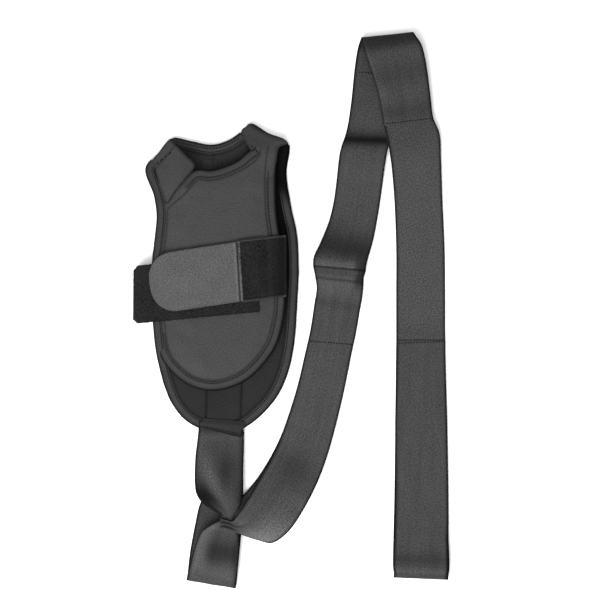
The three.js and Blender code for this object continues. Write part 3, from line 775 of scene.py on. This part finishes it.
# ------------------------------------------------------------------ left shoulder flap
FLAP_LOOP = [(-142.5, 152.5), (-136, 160.5), (-126, 173), (-123.5, 173), (-116.5, 166.5), (-106, 155.5),
             (-98.5, 148.5), (-97.5, 145.5), (-99, 142), (-106, 133), (-117, 119.5), (-127, 106.5),
             (-129, 109.5), (-132, 119), (-135.5, 131), (-141, 147.5)]
flap_loop = smooth_loop(FLAP_LOOP, step=1.2, soften=1.0)
FLAP_REACH = 46.0  # from the fold to the flap's far corner
FLAP_SEAM = 8.5  # from the fold to the sewn row
FLAP_RINGS = (0.25, 0.7, 1.3, 2.0, 2.8, 3.6, 4.2, 4.9, 5.8, 6.9)


def flap_axes(x, y):
    """How far from the flap's fold, and how far along it."""
    return (x + 149) * 0.763 - (y - 144) * 0.646, (x + 149) * 0.646 + (y - 144) * 0.763


def flap_level(x, y):
    reach, along = flap_axes(x, y)
    end = np.maximum(front_top(x, y) + 1.4, 18.0 + 0.08 * (along - 20))
    share = np.clip(reach / FLAP_REACH, 0, 1)
    return 6.0 + (end - 6.0) * (1 - (1 - share) ** 2.2)


def flap_held(x, y):
    reach, _ = flap_axes(x, y)
    return (distance_to(flap_loop, x, y) < 1.6) | (np.abs(reach - FLAP_SEAM) < 1.4)


flap_gain = swell("flap_cover", flap_loop, flap_level, flap_held, pressure=3.0, grow=0.015, cap=0.9, cell=2.6)


def flap_top(x, y, d=None):
    if d is None:
        d = distance_to(flap_loop, x, y)
    reach, along = flap_axes(x, y)
    left = 1 - ease((along + 8) / 9)
    return (flap_level(x, y) + 3.4 - 1.2 * left + flap_gain(x, y) * ease(d / 3)
            - 0.4 * bump_at(reach, FLAP_SEAM, 0.9) + 0.25 * noise(x, y, 12, 21) + 0.15 * noise(x, y, 5, 22))


# Painted shade along the flap's sewn row and round its rim, and the whole flap a little darker.
def flap_tone(x, y, d):
    reach, _ = flap_axes(x, y)
    return 0.93 - 0.45 * bump_at(reach, FLAP_SEAM, 0.8) - 0.9 * np.exp(-(d / 1.3) ** 1.3)


flap = pad("shoulder_flap", flap_loop, flap_top, flap_level, SHELL, flap_tone, spacing=1.5, rings=FLAP_RINGS,
           edge=2.2)
place(flap, "shell_fabric", "flap_lining", "flap_shell", hinge=FLAP_HINGE, fill=0.5)


# ------------------------------------------------------------------ care label
def close_at_ends(count):
    """Shares from 0 to 1 with points close together near both ends and so many between them."""
    rim = [0, 0.02, 0.06, 0.12]
    return np.concatenate([rim, np.linspace(0.2, 0.8, count), [1 - r for r in rim[::-1]]])


def thin_patch(name, corners, level, thickness, material, *, bow, seed=1, shown=0.88):
    """A small four-cornered cloth piece with rounded rims, laid at a level. shown is its tone inside them."""
    a, b, c, d = (np.array(p, float) for p in corners)
    uu, vv = np.meshgrid(close_at_ends(24), close_at_ends(16), indexing="ij")
    shares = ((1 - uu) * (1 - vv), uu * (1 - vv), uu * vv, (1 - uu) * vv)
    x, y = np.moveaxis(sum(share[..., None] * corner for share, corner in zip(shares, (a, b, c, d))), -1, 0)
    du = np.minimum(uu, 1 - uu) * np.linalg.norm(b - a)
    dv = np.minimum(vv, 1 - vv) * np.linalg.norm(d - a)
    half = thickness / 2 * rounded(np.minimum(du, dv), thickness * 0.7)
    z = level(x, y) + thickness / 2 + bow * np.sin(math.pi * uu) * np.sin(math.pi * vv)
    z = z + 0.1 * noise(x, y, 5, seed)
    top, low = (np.stack([x, y, h], -1).reshape(-1, 3) for h in (z + half, z - half))
    grid = np.arange(uu.size).reshape(uu.shape)
    within = np.zeros(uu.shape, bool)
    within[1:-1, 1:-1] = True
    under = np.where(within, uu.size + np.cumsum(within).reshape(uu.shape) - 1, grid)
    faces = [*cells(grid).tolist(), *cells(under.T).tolist()]
    # Painted shade along the rim from the first corner to the second, and up the second end.
    rim = np.minimum(dv, du + 3 * (uu < 0.5)) + 4 * (vv > 0.5)
    tone = shown - 0.85 * shown * np.exp(-(rim / 1.3) ** 1.5)
    return make(name, np.vstack([top, low[within.ravel()]]), faces, material,
                tone=np.concatenate([tone.ravel(), tone[within]]))


label = thin_patch("care_label_cloth", [(-91, 140), (-76, 140), (-76, 153), (-91, 153)],
                   raised(back_surface, 0.35), 0.5, LABEL, bow=0.5)
place(label, "label_fabric", "care_label", body="cradle",
      sheet={"flat": (0.015, 0.013), "held": "laid", "rests_on": ["back_panel"]})

# ------------------------------------------------------------------ webbing
LINK_LOOP = [
    [-72, -117, 6.7, 45, -6], [-72, -125, 6.7, 46, -3], [-72.5, -134, 6.2, 47, 0],
    [-73.5, -150, 8.0, 48.5, 0],
    [-74, -170, 11.0, 48.5, 0], [-73.5, -186, 13.6, 46.5, -1], [-71.2, -197, 15.2, 39, -3],
    [-68.2, -204, 16.0, 26, -6], [-65.8, -209.5, 16.2, 13, -8], [-65.5, -214, 16.4, 12, -8],
    [-68.5, -220, 16.6, 24, -8], [-72.5, -228.5, 15.8, 38, -8], [-75.5, -242, 13.4, 44.5, -8],
    [-79, -262, 10.2, 48.5, -9],
    [-81.6, -276, 7.8, 50, -9.5], [-82.4, -281.2, 4.6, 50.5, -9.5], [-81.6, -276, 1.5, 50.5, -9.5],
    [-79.2, -253, 0.75, 50, -8], [-73, -208, 0.75, 45.5, -6], [-70, -188, 0.75, 40, -4],
    [-72, -160, 0.75, 44, -1],
    [-72, -126, 0.75, 46, 0]]
STRAP_LINK = [
    [40.4, -34.6, 0.75, 45.7, -5], [27.3, -92, 0.75, 47, -15], [8.7, -147, 0.75, 49, -23],
    [-14, -187, 1.8, 50, -31], [-31, -206, 5, 48, -45], [-45.5, -211.5, 11, 36, -55],
    [-57, -214.3, 13.4, 16, -68],
    [-66, -216, 13.2, 9, -84], [-71.5, -216.5, 15.5, 9, -90], [-67, -217.5, 18.4, 9, -86],
    [-60.5, -219.5, 19.4, 11, -70], [-54.5, -221.8, 20.4, 18, -55], [-46.5, -222.6, 21.2, 31, -46],
    [-36.5, -220.8, 21.2, 46, -45], [-23.8, -208.8, 19.2, 53, -39], [-8.3, -184.8, 14, 54, -30],
    [9.0, -150.3, 7.6, 51.5, -23], [27.3, -92, 3.4, 47.5, -15], [38, -44, 3.1, 46, -6]]
LONG_RUN = [
    [42.5, -24, 2.2, 46, -6], [46.7, 1.5, 1.4, 46.5, -10], [49.5, 19, 3.2, 47, -7], [49.4, 34, 8.0, 51, -6],
    [50.0, 42.5, 14.2, 55.5, -5], [50.6, 49.5, 15.0, 56, -6], [55.6, 64, 10.0, 51.5, -12],
    [61.5, 83, 4.2, 48, -16], [66.3, 105.6, 2.4, 46.5, -11],
    [69.2, 126, 3.2, 46.5, -8], [72.6, 154, 6.2, 47, -6], [75.4, 167.5, 5.4, 47, -2],
    [78.3, 175.5, 2.4, 47, -2],
    [81.2, 184, 0.9, 47.5, -8],
    [84.9, 205.5, 0.75, 48, -9], [91.5, 248.4, 0.75, 52, -4], [96, 272, 1.1, 54, 3],
    [97.6, 279.2, 3.4, 53, 6], [98, 280.3, 5.4, 53, 6], [98, 280.4, 7.2, 53, 6]]
RETURN_RUN = [
    [98, 280.3, 9, 53, 6], [98.3, 279, 11, 53.5, 6], [99.6, 275, 13, 55, 7], [103.5, 266, 14, 57.5, 9],
    [109, 248.4, 13.4, 56, 11], [114.8, 223, 11, 52, 10], [119.3, 193, 9.0, 50, 7],
    [119.7, 190.2, 8.8, 50, 7]]
PILE_SECTION = [
    [118.4, 199, 7.4, 50, 8], [120.2, 191, 7.5, 50.6, 8], [125.6, 173, 6.4, 53, 13],
    [127.7, 151.5, 5.1, 50.5, 6],
    [130.3, 110.7, 2.6, 48.5, 3], [132.4, 60, 1.2, 49, 1], [132.6, 20, 1.1, 49.5, 0],
    [132.6, -20, 1.6, 49.5, 0],
    [132.6, -37, 2.3, 49.5, 0]]
END_LOOP = [
    [132.6, -32.0, 4.1, 49.5, 0], [132.6, -42, 3.7, 49.6, 0], [133.1, -123, 2.8, 53, 0],
    [133.6, -190, 3.4, 54, 0],
    [133, -235, 6, 55, 0], [132.6, -256, 8.8, 57, -1], [132.5, -266, 9.6, 56.5, -2],
    [132.6, -272, 7.8, 55, -2.4],
    [132.7, -275.2, 4.8, 55.5, -2.4], [132.6, -272, 1.8, 54.5, -2.4], [132.5, -262, 0.75, 56, -1],
    [133, -190, 0.75, 54, 0], [132.6, -34.3, 0.75, 49.5, 0]]


def strap(name, stations, nodes, *, slot="strap_webbing", material=WEB, width=WEBBING_WIDTH, held="folded",
          body=None, hinge=None, **look):
    obj, length = ribbon(name, stations, material, width=width, **look)
    sheet = {"flat": (width * MM, round(length * MM, 3)), "held": held}
    place(obj, slot, *nodes, body=body, hinge=hinge, sheet=sheet)


def link_shape(base, v, s):
    """The loop's layers arch across their width, and the upper one's left rim curls up near the gathers."""
    first = np.sin(math.pi * np.clip((s - 10) / 86, 0, 1))
    second = np.sin(math.pi * np.clip((s - 112) / 52, 0, 1))
    base[..., 2] += (3.4 * first + 3.2 * second) * (1 - ((v - 0.36) / 0.64) ** 2)
    base[..., 2] += 3.2 * bump_at(s, 78, 20) * ease((0.26 - v) / 0.26)
    base[..., 2] -= 1.2 * bump_at(s, 134, 18) * bump_at(v, 0.62, 0.18)
    return base


def link_tones(x, y, z, v):
    """Painted shade inside the curled rim, in the hollow of the lower fan, at the root and on the lower layer
    under the upper one; painted light where each layer arches and in a band down the upper layer.
    """
    upper = ease((z - 3) / 3)
    rim = 0.88 * bump_at(y, -190, 17) * ease((0.6 - 0.012 * (y + 192) - v) / 0.3)
    hollow = 0.55 * bump_at(y, -165, 20) * bump_at(v, 0.64, 0.22)
    hollow = hollow + 0.25 * bump_at(y, -190, 12) * ease((v - 0.75) / 0.15)
    fan = 0.66 * bump_at(y, -246, 17) * ease((v - 0.18) / 0.22) * ease((1.02 - v) / 0.15)
    fan = fan + 0.3 * ease((v - 0.85) / 0.1)
    glow = 0.6 * bump_at(y, -226, 9) * ease((0.42 - v) / 0.2) + 0.1 * ease((-252 - y) / 12)
    glow = glow + 0.4 * bump_at(y, -240, 14) * ease((0.22 - v) / 0.15)
    # Painted highlight: a light band down the upper layer.
    highlight_band = 0.6 * bump_at(y, -170, 28) * bump_at(v, 0.34 - 0.008 * (y + 172), 0.13)
    root = 0.55 * bump_at(y, -124, 4)
    under = 0.3 * (1 - upper) * ease((-196 - y) / 8) * ease((y + 250) / 20)
    return np.maximum(0.1, 1 - under - upper * (rim + hollow + fan + root - glow - highlight_band))


strap("link_loop_webbing", LINK_LOOP, ["link_loop"], body="cradle", seed=31, pleats=1.4, gather=1.0,
      shape=link_shape, tones=link_tones)

long_stations = STRAP_LINK + LONG_RUN + RETURN_RUN
SPLIT_STATION = len(STRAP_LINK) + 14  # where the piece that folds over the top begins
split = SPLIT_STATION / (len(long_stations) - 1)


def hump_curl(base, v, s):
    """The buckle in the long run: its right edge turns down beside the ridge, as it does beside the knot."""
    x, y = base[..., 0], base[..., 1]
    strength = bump_at(y, 44, 17) * ease((x - 20) / 10)
    right = ease((v - 0.72) / 0.28)
    base[..., 2] -= 8.5 * strength * right**1.4
    base[..., 0] -= 2.0 * strength * right
    near_knot = ease((-186 - y) / 22) * ease((base[..., 2] - 12.5) / 3) * ease((x + 62) / 12)
    base[..., 2] -= 3.0 * near_knot * ease((v - 0.6) / 0.4) ** 1.5
    return base


def run_tones(x, y, z, v):
    """Light on the turned-down corner beside the knot, shade in the creases of the long run."""
    corner = ease((z - 11) / 4) * ease((-150 - y) / 20) * bump_at(x, -34, 17) * ease((v - 0.3) / 0.5)
    up = ease((y + 60) / 20)
    crease = (0.72 * bump_at(y, 173.6, 5.6) + 0.2 * bump_at(y, 178, 9)) * up
    wave_line = y + 0.05 * (x - 50)
    valley = up * (0.54 * bump_at(y, 63, 12) + 0.8 * bump_at(wave_line, 42.2, 1.1)
                   + 0.5 * bump_at(wave_line, 30.4, 1.6) + 0.25 * bump_at(y, 5, 6))
    facet = 0.62 * bump_at(y, 38, 12) * ease((v - 0.78) / 0.1)
    ridge = 0.36 * bump_at(y, 47, 4.5) * ease((0.8 - v) / 0.1)
    middle = (0.42 * bump_at(y, -160, 22) * bump_at(v, 0.5, 0.35)
              + 0.3 * bump_at(y, -205, 14) * bump_at(v, 0.72, 0.2)) * ease((z - 5) / 4)
    inner = ease((14.6 - z) / 2) * bump_at(x, -54, 8) * ease((-190 - y) / 6)
    peek = inner * (1.6 * ease((0.3 - v) / 0.12) - 0.4 * bump_at(v, 0.5, 0.15))
    return (1.08 + 1.75 * corner + ridge - middle + peek) * (1 - crease) * (1 - valley) * (1 - facet)


def light_selvedge(x, y, z, v):
    """The near edge of the strap's upper layer catches the light where it comes round the top fold."""
    upper = ease((z - 5) / 4)
    fold = 0.55 * ease((y - 262) / 10) + (0.25 * bump_at(y, 240, 10) + 0.28 * bump_at(y, 203, 9)) * upper
    return (1 - fold) * (1 + 9.0 * upper * np.exp(-v * 49))


def pile_tones(x, y, z, v):
    """A little shade where the pile section bends and where the end loop's seam presses it."""
    return 1 - 0.2 * bump_at(y, 182, 22) - 0.12 * bump_at(y, -25, 12)


def end_tones(x, y, z, v):
    """Shade where the end loop bends before its lower turn, and on its right edge where the layers part."""
    bend = 0.34 * bump_at(y, -255.5, 6.5) - 0.12 * bump_at(y, -268.5, 3.5)
    parting = 0.92 * ease((v - 0.925) / 0.04) * ease((-208 - y) / 34)
    return 0.965 * (1 - bend) * (1 - parting)


strap("strap_long_run_webbing", long_stations, ["strap_link_loop", "strap_long_run"], body="cradle",
      cut=(0, split), seed=33, shape=hump_curl, tones=run_tones)
strap("strap_top_fold_webbing", long_stations, ["strap_return_run"], hinge=RETURN_HINGE, cut=(split, 1),
      seed=33, tones=light_selvedge)
strap("strap_pile_tape", PILE_SECTION, ["strap_pile_section"], slot="strap_pile", material=MATTE, held="laid",
      body="strap_return", thickness=1.8, seed=35, ripple=0.12, fuzz=0.12, step=1.0, tones=pile_tones)
strap("strap_end_loop_webbing", END_LOOP, ["strap_end_loop"], hinge=END_HINGE, seed=37, tones=end_tones)


# ------------------------------------------------------------------ elbow patch over the link loop's root
def patch_level(x, y):
    """The patch's upper edge sinks into the cradle's edge tape."""
    return 7.6 - 1.7 * ease((y + 118 + 0.08 * (x + 72)) / 5)


patch = thin_patch("elbow_patch_cloth", [(-96, -119.6), (-52.0, -130.8), (-47, -114.5), (-90, -111)],
                   patch_level, 1.3, TAPE, bow=0.4, seed=5, shown=0.66)
place(patch, "shell_fabric", "elbow_patch", body="cradle",
      sheet={"flat": (0.042, 0.0125), "held": "laid", "rests_on": ["link_loop_webbing"]})


# ------------------------------------------------------------------ closure
def tilted(start, tilt, a, b):
    """The point a along and b across a band that runs towards -X from start, turned by tilt degrees."""
    t = math.radians(tilt)
    return start[0] - np.cos(t) * a - np.sin(t) * b, start[1] - np.sin(t) * a + np.cos(t) * b


def strip_piece(name, start, tilt, a_range, half_width, level, thickness, material, *, seed, step=0.9,
                fuzz=0.0, wave=0.0, tone_edge=0.6, skew=0.0, near_skew=0.0, bands=None):
    """A flat piece that runs towards -X from start: half_width(a) gives its shape, skew slants its far end
    and near_skew its near one, and bands gives its tone along its length."""
    near, far = a_range
    a = np.linspace(near, far, math.ceil((far - near) / step + 0.5))
    half = np.array([half_width(q) for q in a])
    widest = half.max()
    rim = np.array([0, 0.08, 0.3, 0.7, 1.3])
    inner = np.linspace(2.2, 2 * widest - 2.2, max(8, int(2 * widest / step)))
    places = np.concatenate([rim, inner, 2 * widest - rim[::-1]])[None]
    b = (2 * (places / (2 * widest)) - 1) * half[:, None]
    slant = skew * ease((a - far + 30) / 30) + near_skew * ease((near + 30 - a) / 30)
    x, y = tilted(start, tilt, a[:, None] - slant[:, None] * b, b)
    end = np.minimum(a - near, far - a)[:, None]
    edge = np.minimum(np.minimum(places, 2 * widest - places) * half[:, None] / widest, end + 0.3)
    rise = rounded(edge, 0.6 * thickness)
    z = level(x, y) + wave * noise(x, y, 15, seed) + 0.4 * wave * noise(x, y, 6, seed + 1) + thickness / 2
    top = z + thickness / 2 * rise + fuzz * noise(x, y, 0.8, seed + 2) * rise
    low = z - thickness / 2 * rise
    ring = both_faces(np.stack([x, y, top], -1), np.stack([x, y, low], -1))
    # Painted shade darkens its rims, by tone_edge at the very edge.
    tone = 1 - tone_edge * np.exp(-edge / 0.8)
    if bands is not None:
        tone = tone * bands(a)[:, None]
    path = np.column_stack([*tilted(start, tilt, a, 0 * a), 0 * a])
    return sweep(name, path, ring, material, both_faces(places, places), both_faces(tone, tone))


LOOPS_EACH_MM2 = 0.9
LOOP_HEIGHT, LOOP_RADIUS = 0.9, 0.16
YARN_SIDES = 3
YARN = ((-1, -0.35), (-0.75, 0.75), (0.55, 1.0), (1, -0.2))  # a loop's points: how far along it and how high


def scatter(start, tilt, a_range, half_width, level, seed):
    """Random spots all over a strip."""
    rng = np.random.default_rng(seed)
    widest = max(half_width(q) for q in np.linspace(*a_range, 9))
    n = int((a_range[1] - a_range[0]) * 2 * widest * LOOPS_EACH_MM2)
    a = rng.uniform(*a_range, n)
    b = rng.uniform(-1, 1, n) * widest
    keep = np.abs(b) < np.array([half_width(q) for q in a])
    x, y = tilted(start, tilt, a[keep], b[keep])
    return np.column_stack([x, y, level(x, y)])


def loops(name, spots, seed):
    """Pile: a small bent loop of yarn at each spot (x, y, z)."""
    rng = np.random.default_rng(seed)
    n = len(spots)
    turn = rng.uniform(0, TAU, n)
    size = rng.uniform(0.6, 1.3, n)
    lean = rng.uniform(-0.5, 0.5, (n, 2))
    sections = []
    for f, up in YARN:
        centre = np.stack([spots[:, 0] + f * 0.5 * size * np.cos(turn) + lean[:, 0] * max(up, 0),
                           spots[:, 1] + f * 0.5 * size * np.sin(turn) + lean[:, 1] * max(up, 0),
                           spots[:, 2] + up * LOOP_HEIGHT * size], axis=1)
        for a in (TAU * k / YARN_SIDES for k in range(YARN_SIDES)):
            side = [-np.sin(turn) * math.cos(a), np.cos(turn) * math.cos(a), np.full(n, math.sin(a))]
            sections.append(centre + np.stack(side, axis=1) * LOOP_RADIUS)
    each = len(sections)
    faces = [face for i in range(n) for face in tube(len(YARN), YARN_SIDES, first=i * each)]
    tone = np.repeat(rng.uniform(0.3, 1.0, n) ** 2 * 3.8, each)
    return make(name, np.stack(sections, axis=1).reshape(-1, 3), faces, PILE, tone=tone, sharp=0)


STRIP_START, STRIP_REACH = (-35, 27), 127.0


def strip_half(a):
    """Half the loop strip's width, a little wavy, and narrower at its cut end."""
    return 29.4 - 4 * float(ease((a - STRIP_REACH + 5) / 5)) + 0.125 * math.sin(a * 0.9)


strip = strip_piece("loop_strip_pile", STRIP_START, STRIP_TILT, (0, STRIP_REACH), strip_half, strip_base, 1.7,
                    PILE, seed=41, fuzz=0.25, wave=0.25, skew=0.11)
place(strip, "black_pile", "loop_strip", body="cradle",
      sheet={"flat": (0.058, 0.127), "held": "laid", "rests_on": ["front_panel"]})
strip_spots = scatter(STRIP_START, STRIP_TILT, (-0.3, STRIP_REACH - 0.3), lambda a: strip_half(a) + 0.2,
                      raised(strip_base, 1.6), 42)
place(loops("loop_strip_loops", strip_spots, seed=43), "black_pile", body="cradle")

# The closure band comes out from the back lining, turns up round the front panel's free edge and lies over
# it. Its path is given as places along the closure and heights, up to where it lies on the panel.
BAND_PATH = [(24, 6.9), (10, 6.9), (0, 7.1), (-4.2, 9.6), (-5.6, 14), (-5.4, 18.4), (-3.4, 21.6), (0.5, 23.4)]
BAND_WIDTH = 61.0
BAND_TOP = 75  # Y of its upper corner at the fold
EDGE_TAPE_OFF = 30.2  # from the band's middle line to that of each edge tape


def band_stations(width):
    rows = []
    for a, z in [*BAND_PATH, *((a, None) for a in (5, 10, 16, 22, 28, 34, 40, 45.5))]:
        x, y = map(float, tilted(CLOSURE_FOLD, CLOSURE_TILT, a, 0))
        if z is None:
            z = float(closure_base(x, y) + 1.9 - 1.1 * ease((a - 36) / 8))
        rows.append([x, y, z, width, 90 + CLOSURE_TILT])
    return rows


def around_edge(x, y, z, v):
    """Painted shade where the band goes round the free edge."""
    return 0.38 + 0.62 * ease((-3 - x) / 20) * ease((z - 20) / 2)


def straight_fold(base, v, s):
    """The fold stands upright in the view although the band is tilted, so its lower corner is drawn in."""
    from_top = BAND_TOP - base[..., 1]
    base[..., 0] -= (1.5 + 0.11 * np.clip(from_top, 0, 64)) * ease((base[..., 0] + 34) / 26)
    return base


strap("closure_band_pile", band_stations(BAND_WIDTH), ["closure_backing", "closure_pile", "closure_root"],
      slot="black_pile", material=PILE, width=BAND_WIDTH, hinge=CLOSURE_HINGE, thickness=2.0, seed=45,
      ripple=0.15, fuzz=0.22, step=0.9, tones=around_edge, shape=straight_fold)
tilt = math.radians(CLOSURE_TILT)
for side, off in (("upper", EDGE_TAPE_OFF), ("lower", -EDGE_TAPE_OFF)):
    rows = [[x - math.sin(tilt) * off, y + math.cos(tilt) * off, z + 0.5, w, angle]
            for x, y, z, w, angle in band_stations(1.7)[4:]]
    edge_tape, _ = ribbon(f"closure_edge_tape_{side}", rows, EDGE, thickness=1.7, width=1.9, seed=47,
                          ripple=0.05, step=0.9, tones=around_edge, shape=straight_fold)
    place(edge_tape, "binding_tape", f"closure_binding_{side}", hinge=CLOSURE_HINGE)

band_spots = scatter(CLOSURE_FOLD, CLOSURE_TILT, (11, 44.5), lambda a: 29.0, raised(closure_base, 2.9), 51)
place(loops("closure_band_loops", band_spots, seed=53), "black_pile", hinge=CLOSURE_HINGE)

# ------------------------------------------------------------------ hook tab
TAB_TILT = CLOSURE_TILT + 2
TAB_SLANT = 0.09
TAB_HALF = 30.2
TAB_REACH, TAB_ROUND = 92.0, 25.0  # its length, and how much of it the round end takes
tab_level = raised(closure_base, 1.3)


def tab_half(margin):
    """Half the width of the tab, or of what lies within its edge by a margin."""
    def half(a):
        past = max(0.0, a - (TAB_REACH - TAB_ROUND)) / TAB_ROUND
        return TAB_HALF - margin - (TAB_ROUND + 1.5) * (1 - math.sqrt(max(0.0, 1 - past * past)))
    return half


def seam_bands(a):
    """The tab's sewn end: painted light on two bands where folds would stand, and painted shade between them
    along the seam.
    """
    return 1 + 0.7 * bump_at(a, -1.9, 0.6) - 0.7 * bump_at(a, 0.6, 0.9) + 0.45 * bump_at(a, 3.0, 0.7)


tab_sheet = strip_piece("hook_tab_sheet", TAB_SEAM, TAB_TILT, (-2.5, TAB_REACH), tab_half(0), tab_level, 1.5,
                        TAB, seed=61, wave=0.35, tone_edge=0.45, near_skew=TAB_SLANT, bands=seam_bands)
place(tab_sheet, "tab_fabric", "hook_tab", hinge=TAB_HINGE,
      sheet={"flat": (0.0605, 0.0945), "held": "laid", "rests_on": ["loop_strip_pile"], "area": 0.0054})
hook_pad = strip_piece("hook_patch_tape", TAB_SEAM, TAB_TILT, (4, TAB_REACH - 4), tab_half(4),
                       raised(closure_base, 0.1), 1.1, HOOKS, seed=63, step=1.4)
place(hook_pad, "hook_tape", "hook_patch", body="tab")

# ------------------------------------------------------------------ stitching
SEAM_INSET = 7.9  # from a panel's edge to the row that holds its tape
NECK_ENDS = (-118, 173), (-54, 177)
neckline_row = np.vstack([part_of(front_loop, (-108, 133), (-54, 152), SEAM_INSET),
                          [(-41.0, 151.5), (-33.5, 157.5)]])
tack_rows = [[(-42.0, 167.0), (-33.5, 158.0)], [(-39.5, 158.8), (-35.5, 165.8)]]
cradle_rows = [
    on_surface(part_of(back_loop, (-6, 160), (-145, 135), SEAM_INSET), rim_top, -0.3),
    on_surface(part_of(back_loop, *NECK_ENDS, SEAM_INSET), flat_level(BACK_TOP + 0.1), -0.1),
    on_surface(part_of(back_loop, *NECK_ENDS, 4.6), flat_level(BACK_TOP + 1.0)),
    on_surface(part_of(front_loop, (-15.4, 142), (-131, -55), SEAM_INSET), front_edge_top, -0.3),
    on_surface(neckline_row, front_edge_top, -0.3),
    *[on_surface(row, front_edge_top, 0.9) for row in tack_rows]]
threads("cradle_stitching", "binding_tape", cradle_rows, body="cradle")

channel_rows = [[(channel_at(c, y), y) for y in np.arange(-112, 120, 6.0)] for c in BACK_CHANNELS]
quilting = [on_surface(row, back_surface, 0.05) for row in channel_rows]
threads("lining_stitching", "lining_fabric", quilting, body="cradle")

flap_row = on_surface([(-139.5, 147.0), (-121.5, 161.0)], flap_top, 0.1)
threads("shoulder_flap_stitching", "shell_fabric", [flap_row], pitch=5.5, length=4.2, radius=0.6,
        hinge=FLAP_HINGE)

patch_row = on_surface([(-88.5, -119.5), (-54, -127)], flat_level(9.1))
threads("elbow_patch_stitching", "shell_fabric", [patch_row], body="cradle")

# Rows across the strap: both ends and the height.
STRAP_SEAMS = (
    ("long_run_stitching", {"body": "cradle"},
     [((18.6, -32.4), (62.8, -36.1), 3.75), ((68.5, 243.5), (83.0, 243.0), 1.55)]),
    ("return_run_stitching", {"body": "strap_return"}, [((95.2, 189.4), (143.2, 195.2), 9.85)]),
    ("end_loop_stitching", {"hinge": END_HINGE}, [((108.8, -34.6), (156.2, -33.0), 4.9)]))
for name, where, ends in STRAP_SEAMS:
    rows = [on_surface([a, b], flat_level(z)) for a, b, z in ends]
    threads(name, "strap_webbing", rows, pitch=2.9, length=1.7, radius=0.6, **where)

tab_row = [tilted(TAB_SEAM, TAB_TILT, 0.6 - b * TAB_SLANT, b) for b in (-29.0, 29.0)]
threads("tab_stitching", "tab_fabric", [on_surface(tab_row, raised(tab_level, 1.5))], pitch=2.4, length=1.7,
        radius=0.35, hinge=TAB_HINGE)

# ------------------------------------------------------------------ floor, light and camera
bpy.ops.mesh.primitive_plane_add(size=30, location=(0, 0, -0.0002))  # just below the lowest cloth
floor = bpy.context.object
floor.name = "floor"
floor_material = bpy.data.materials.new("floor_white")
floor_material.use_nodes = True
floor_shader = floor_material.node_tree.nodes["Principled BSDF"]
floor_shader.inputs["Base Color"].default_value = (0.9, 0.9, 0.9, 1)
floor_shader.inputs["Roughness"].default_value = 0.9
floor_shader.inputs["Specular IOR Level"].default_value = 0.1
floor.data.materials.append(floor_material)

world = bpy.data.worlds.new("studio")
bpy.context.scene.world = world
world.use_nodes = True
background = world.node_tree.nodes["Background"]
background.inputs["Color"].default_value = (1, 1, 1, 1)
background.inputs["Strength"].default_value = 0.5


def area_light(name, location, size, power):
    """A rectangular light that faces the middle of the sling."""
    light = bpy.data.lights.new(name, "AREA")
    light.shape = "RECTANGLE"
    light.size, light.size_y = size
    light.energy = power
    obj = bpy.data.objects.new(name, light)
    obj.location = location
    obj.rotation_euler = (-Vector(location)).to_track_quat("-Z", "Y").to_euler()
    bpy.context.scene.collection.objects.link(obj)


area_light("key", (-0.6, -1.25, 1.75), (1.3, 0.9), 66)
area_light("top", (-0.1, -0.1, 2.6), (2.0, 2.0), 42)

camera_data = bpy.data.cameras.new("camera")
camera_data.lens = 90
camera_data.sensor_width = 36
camera = bpy.data.objects.new("camera", camera_data)
camera.location = (0.0087, 0.0097, 1.542)  # metres, above the middle of the photograph
bpy.context.scene.collection.objects.link(camera)
bpy.context.scene.camera = camera
bpy.context.scene.view_settings.view_transform = "Standard"
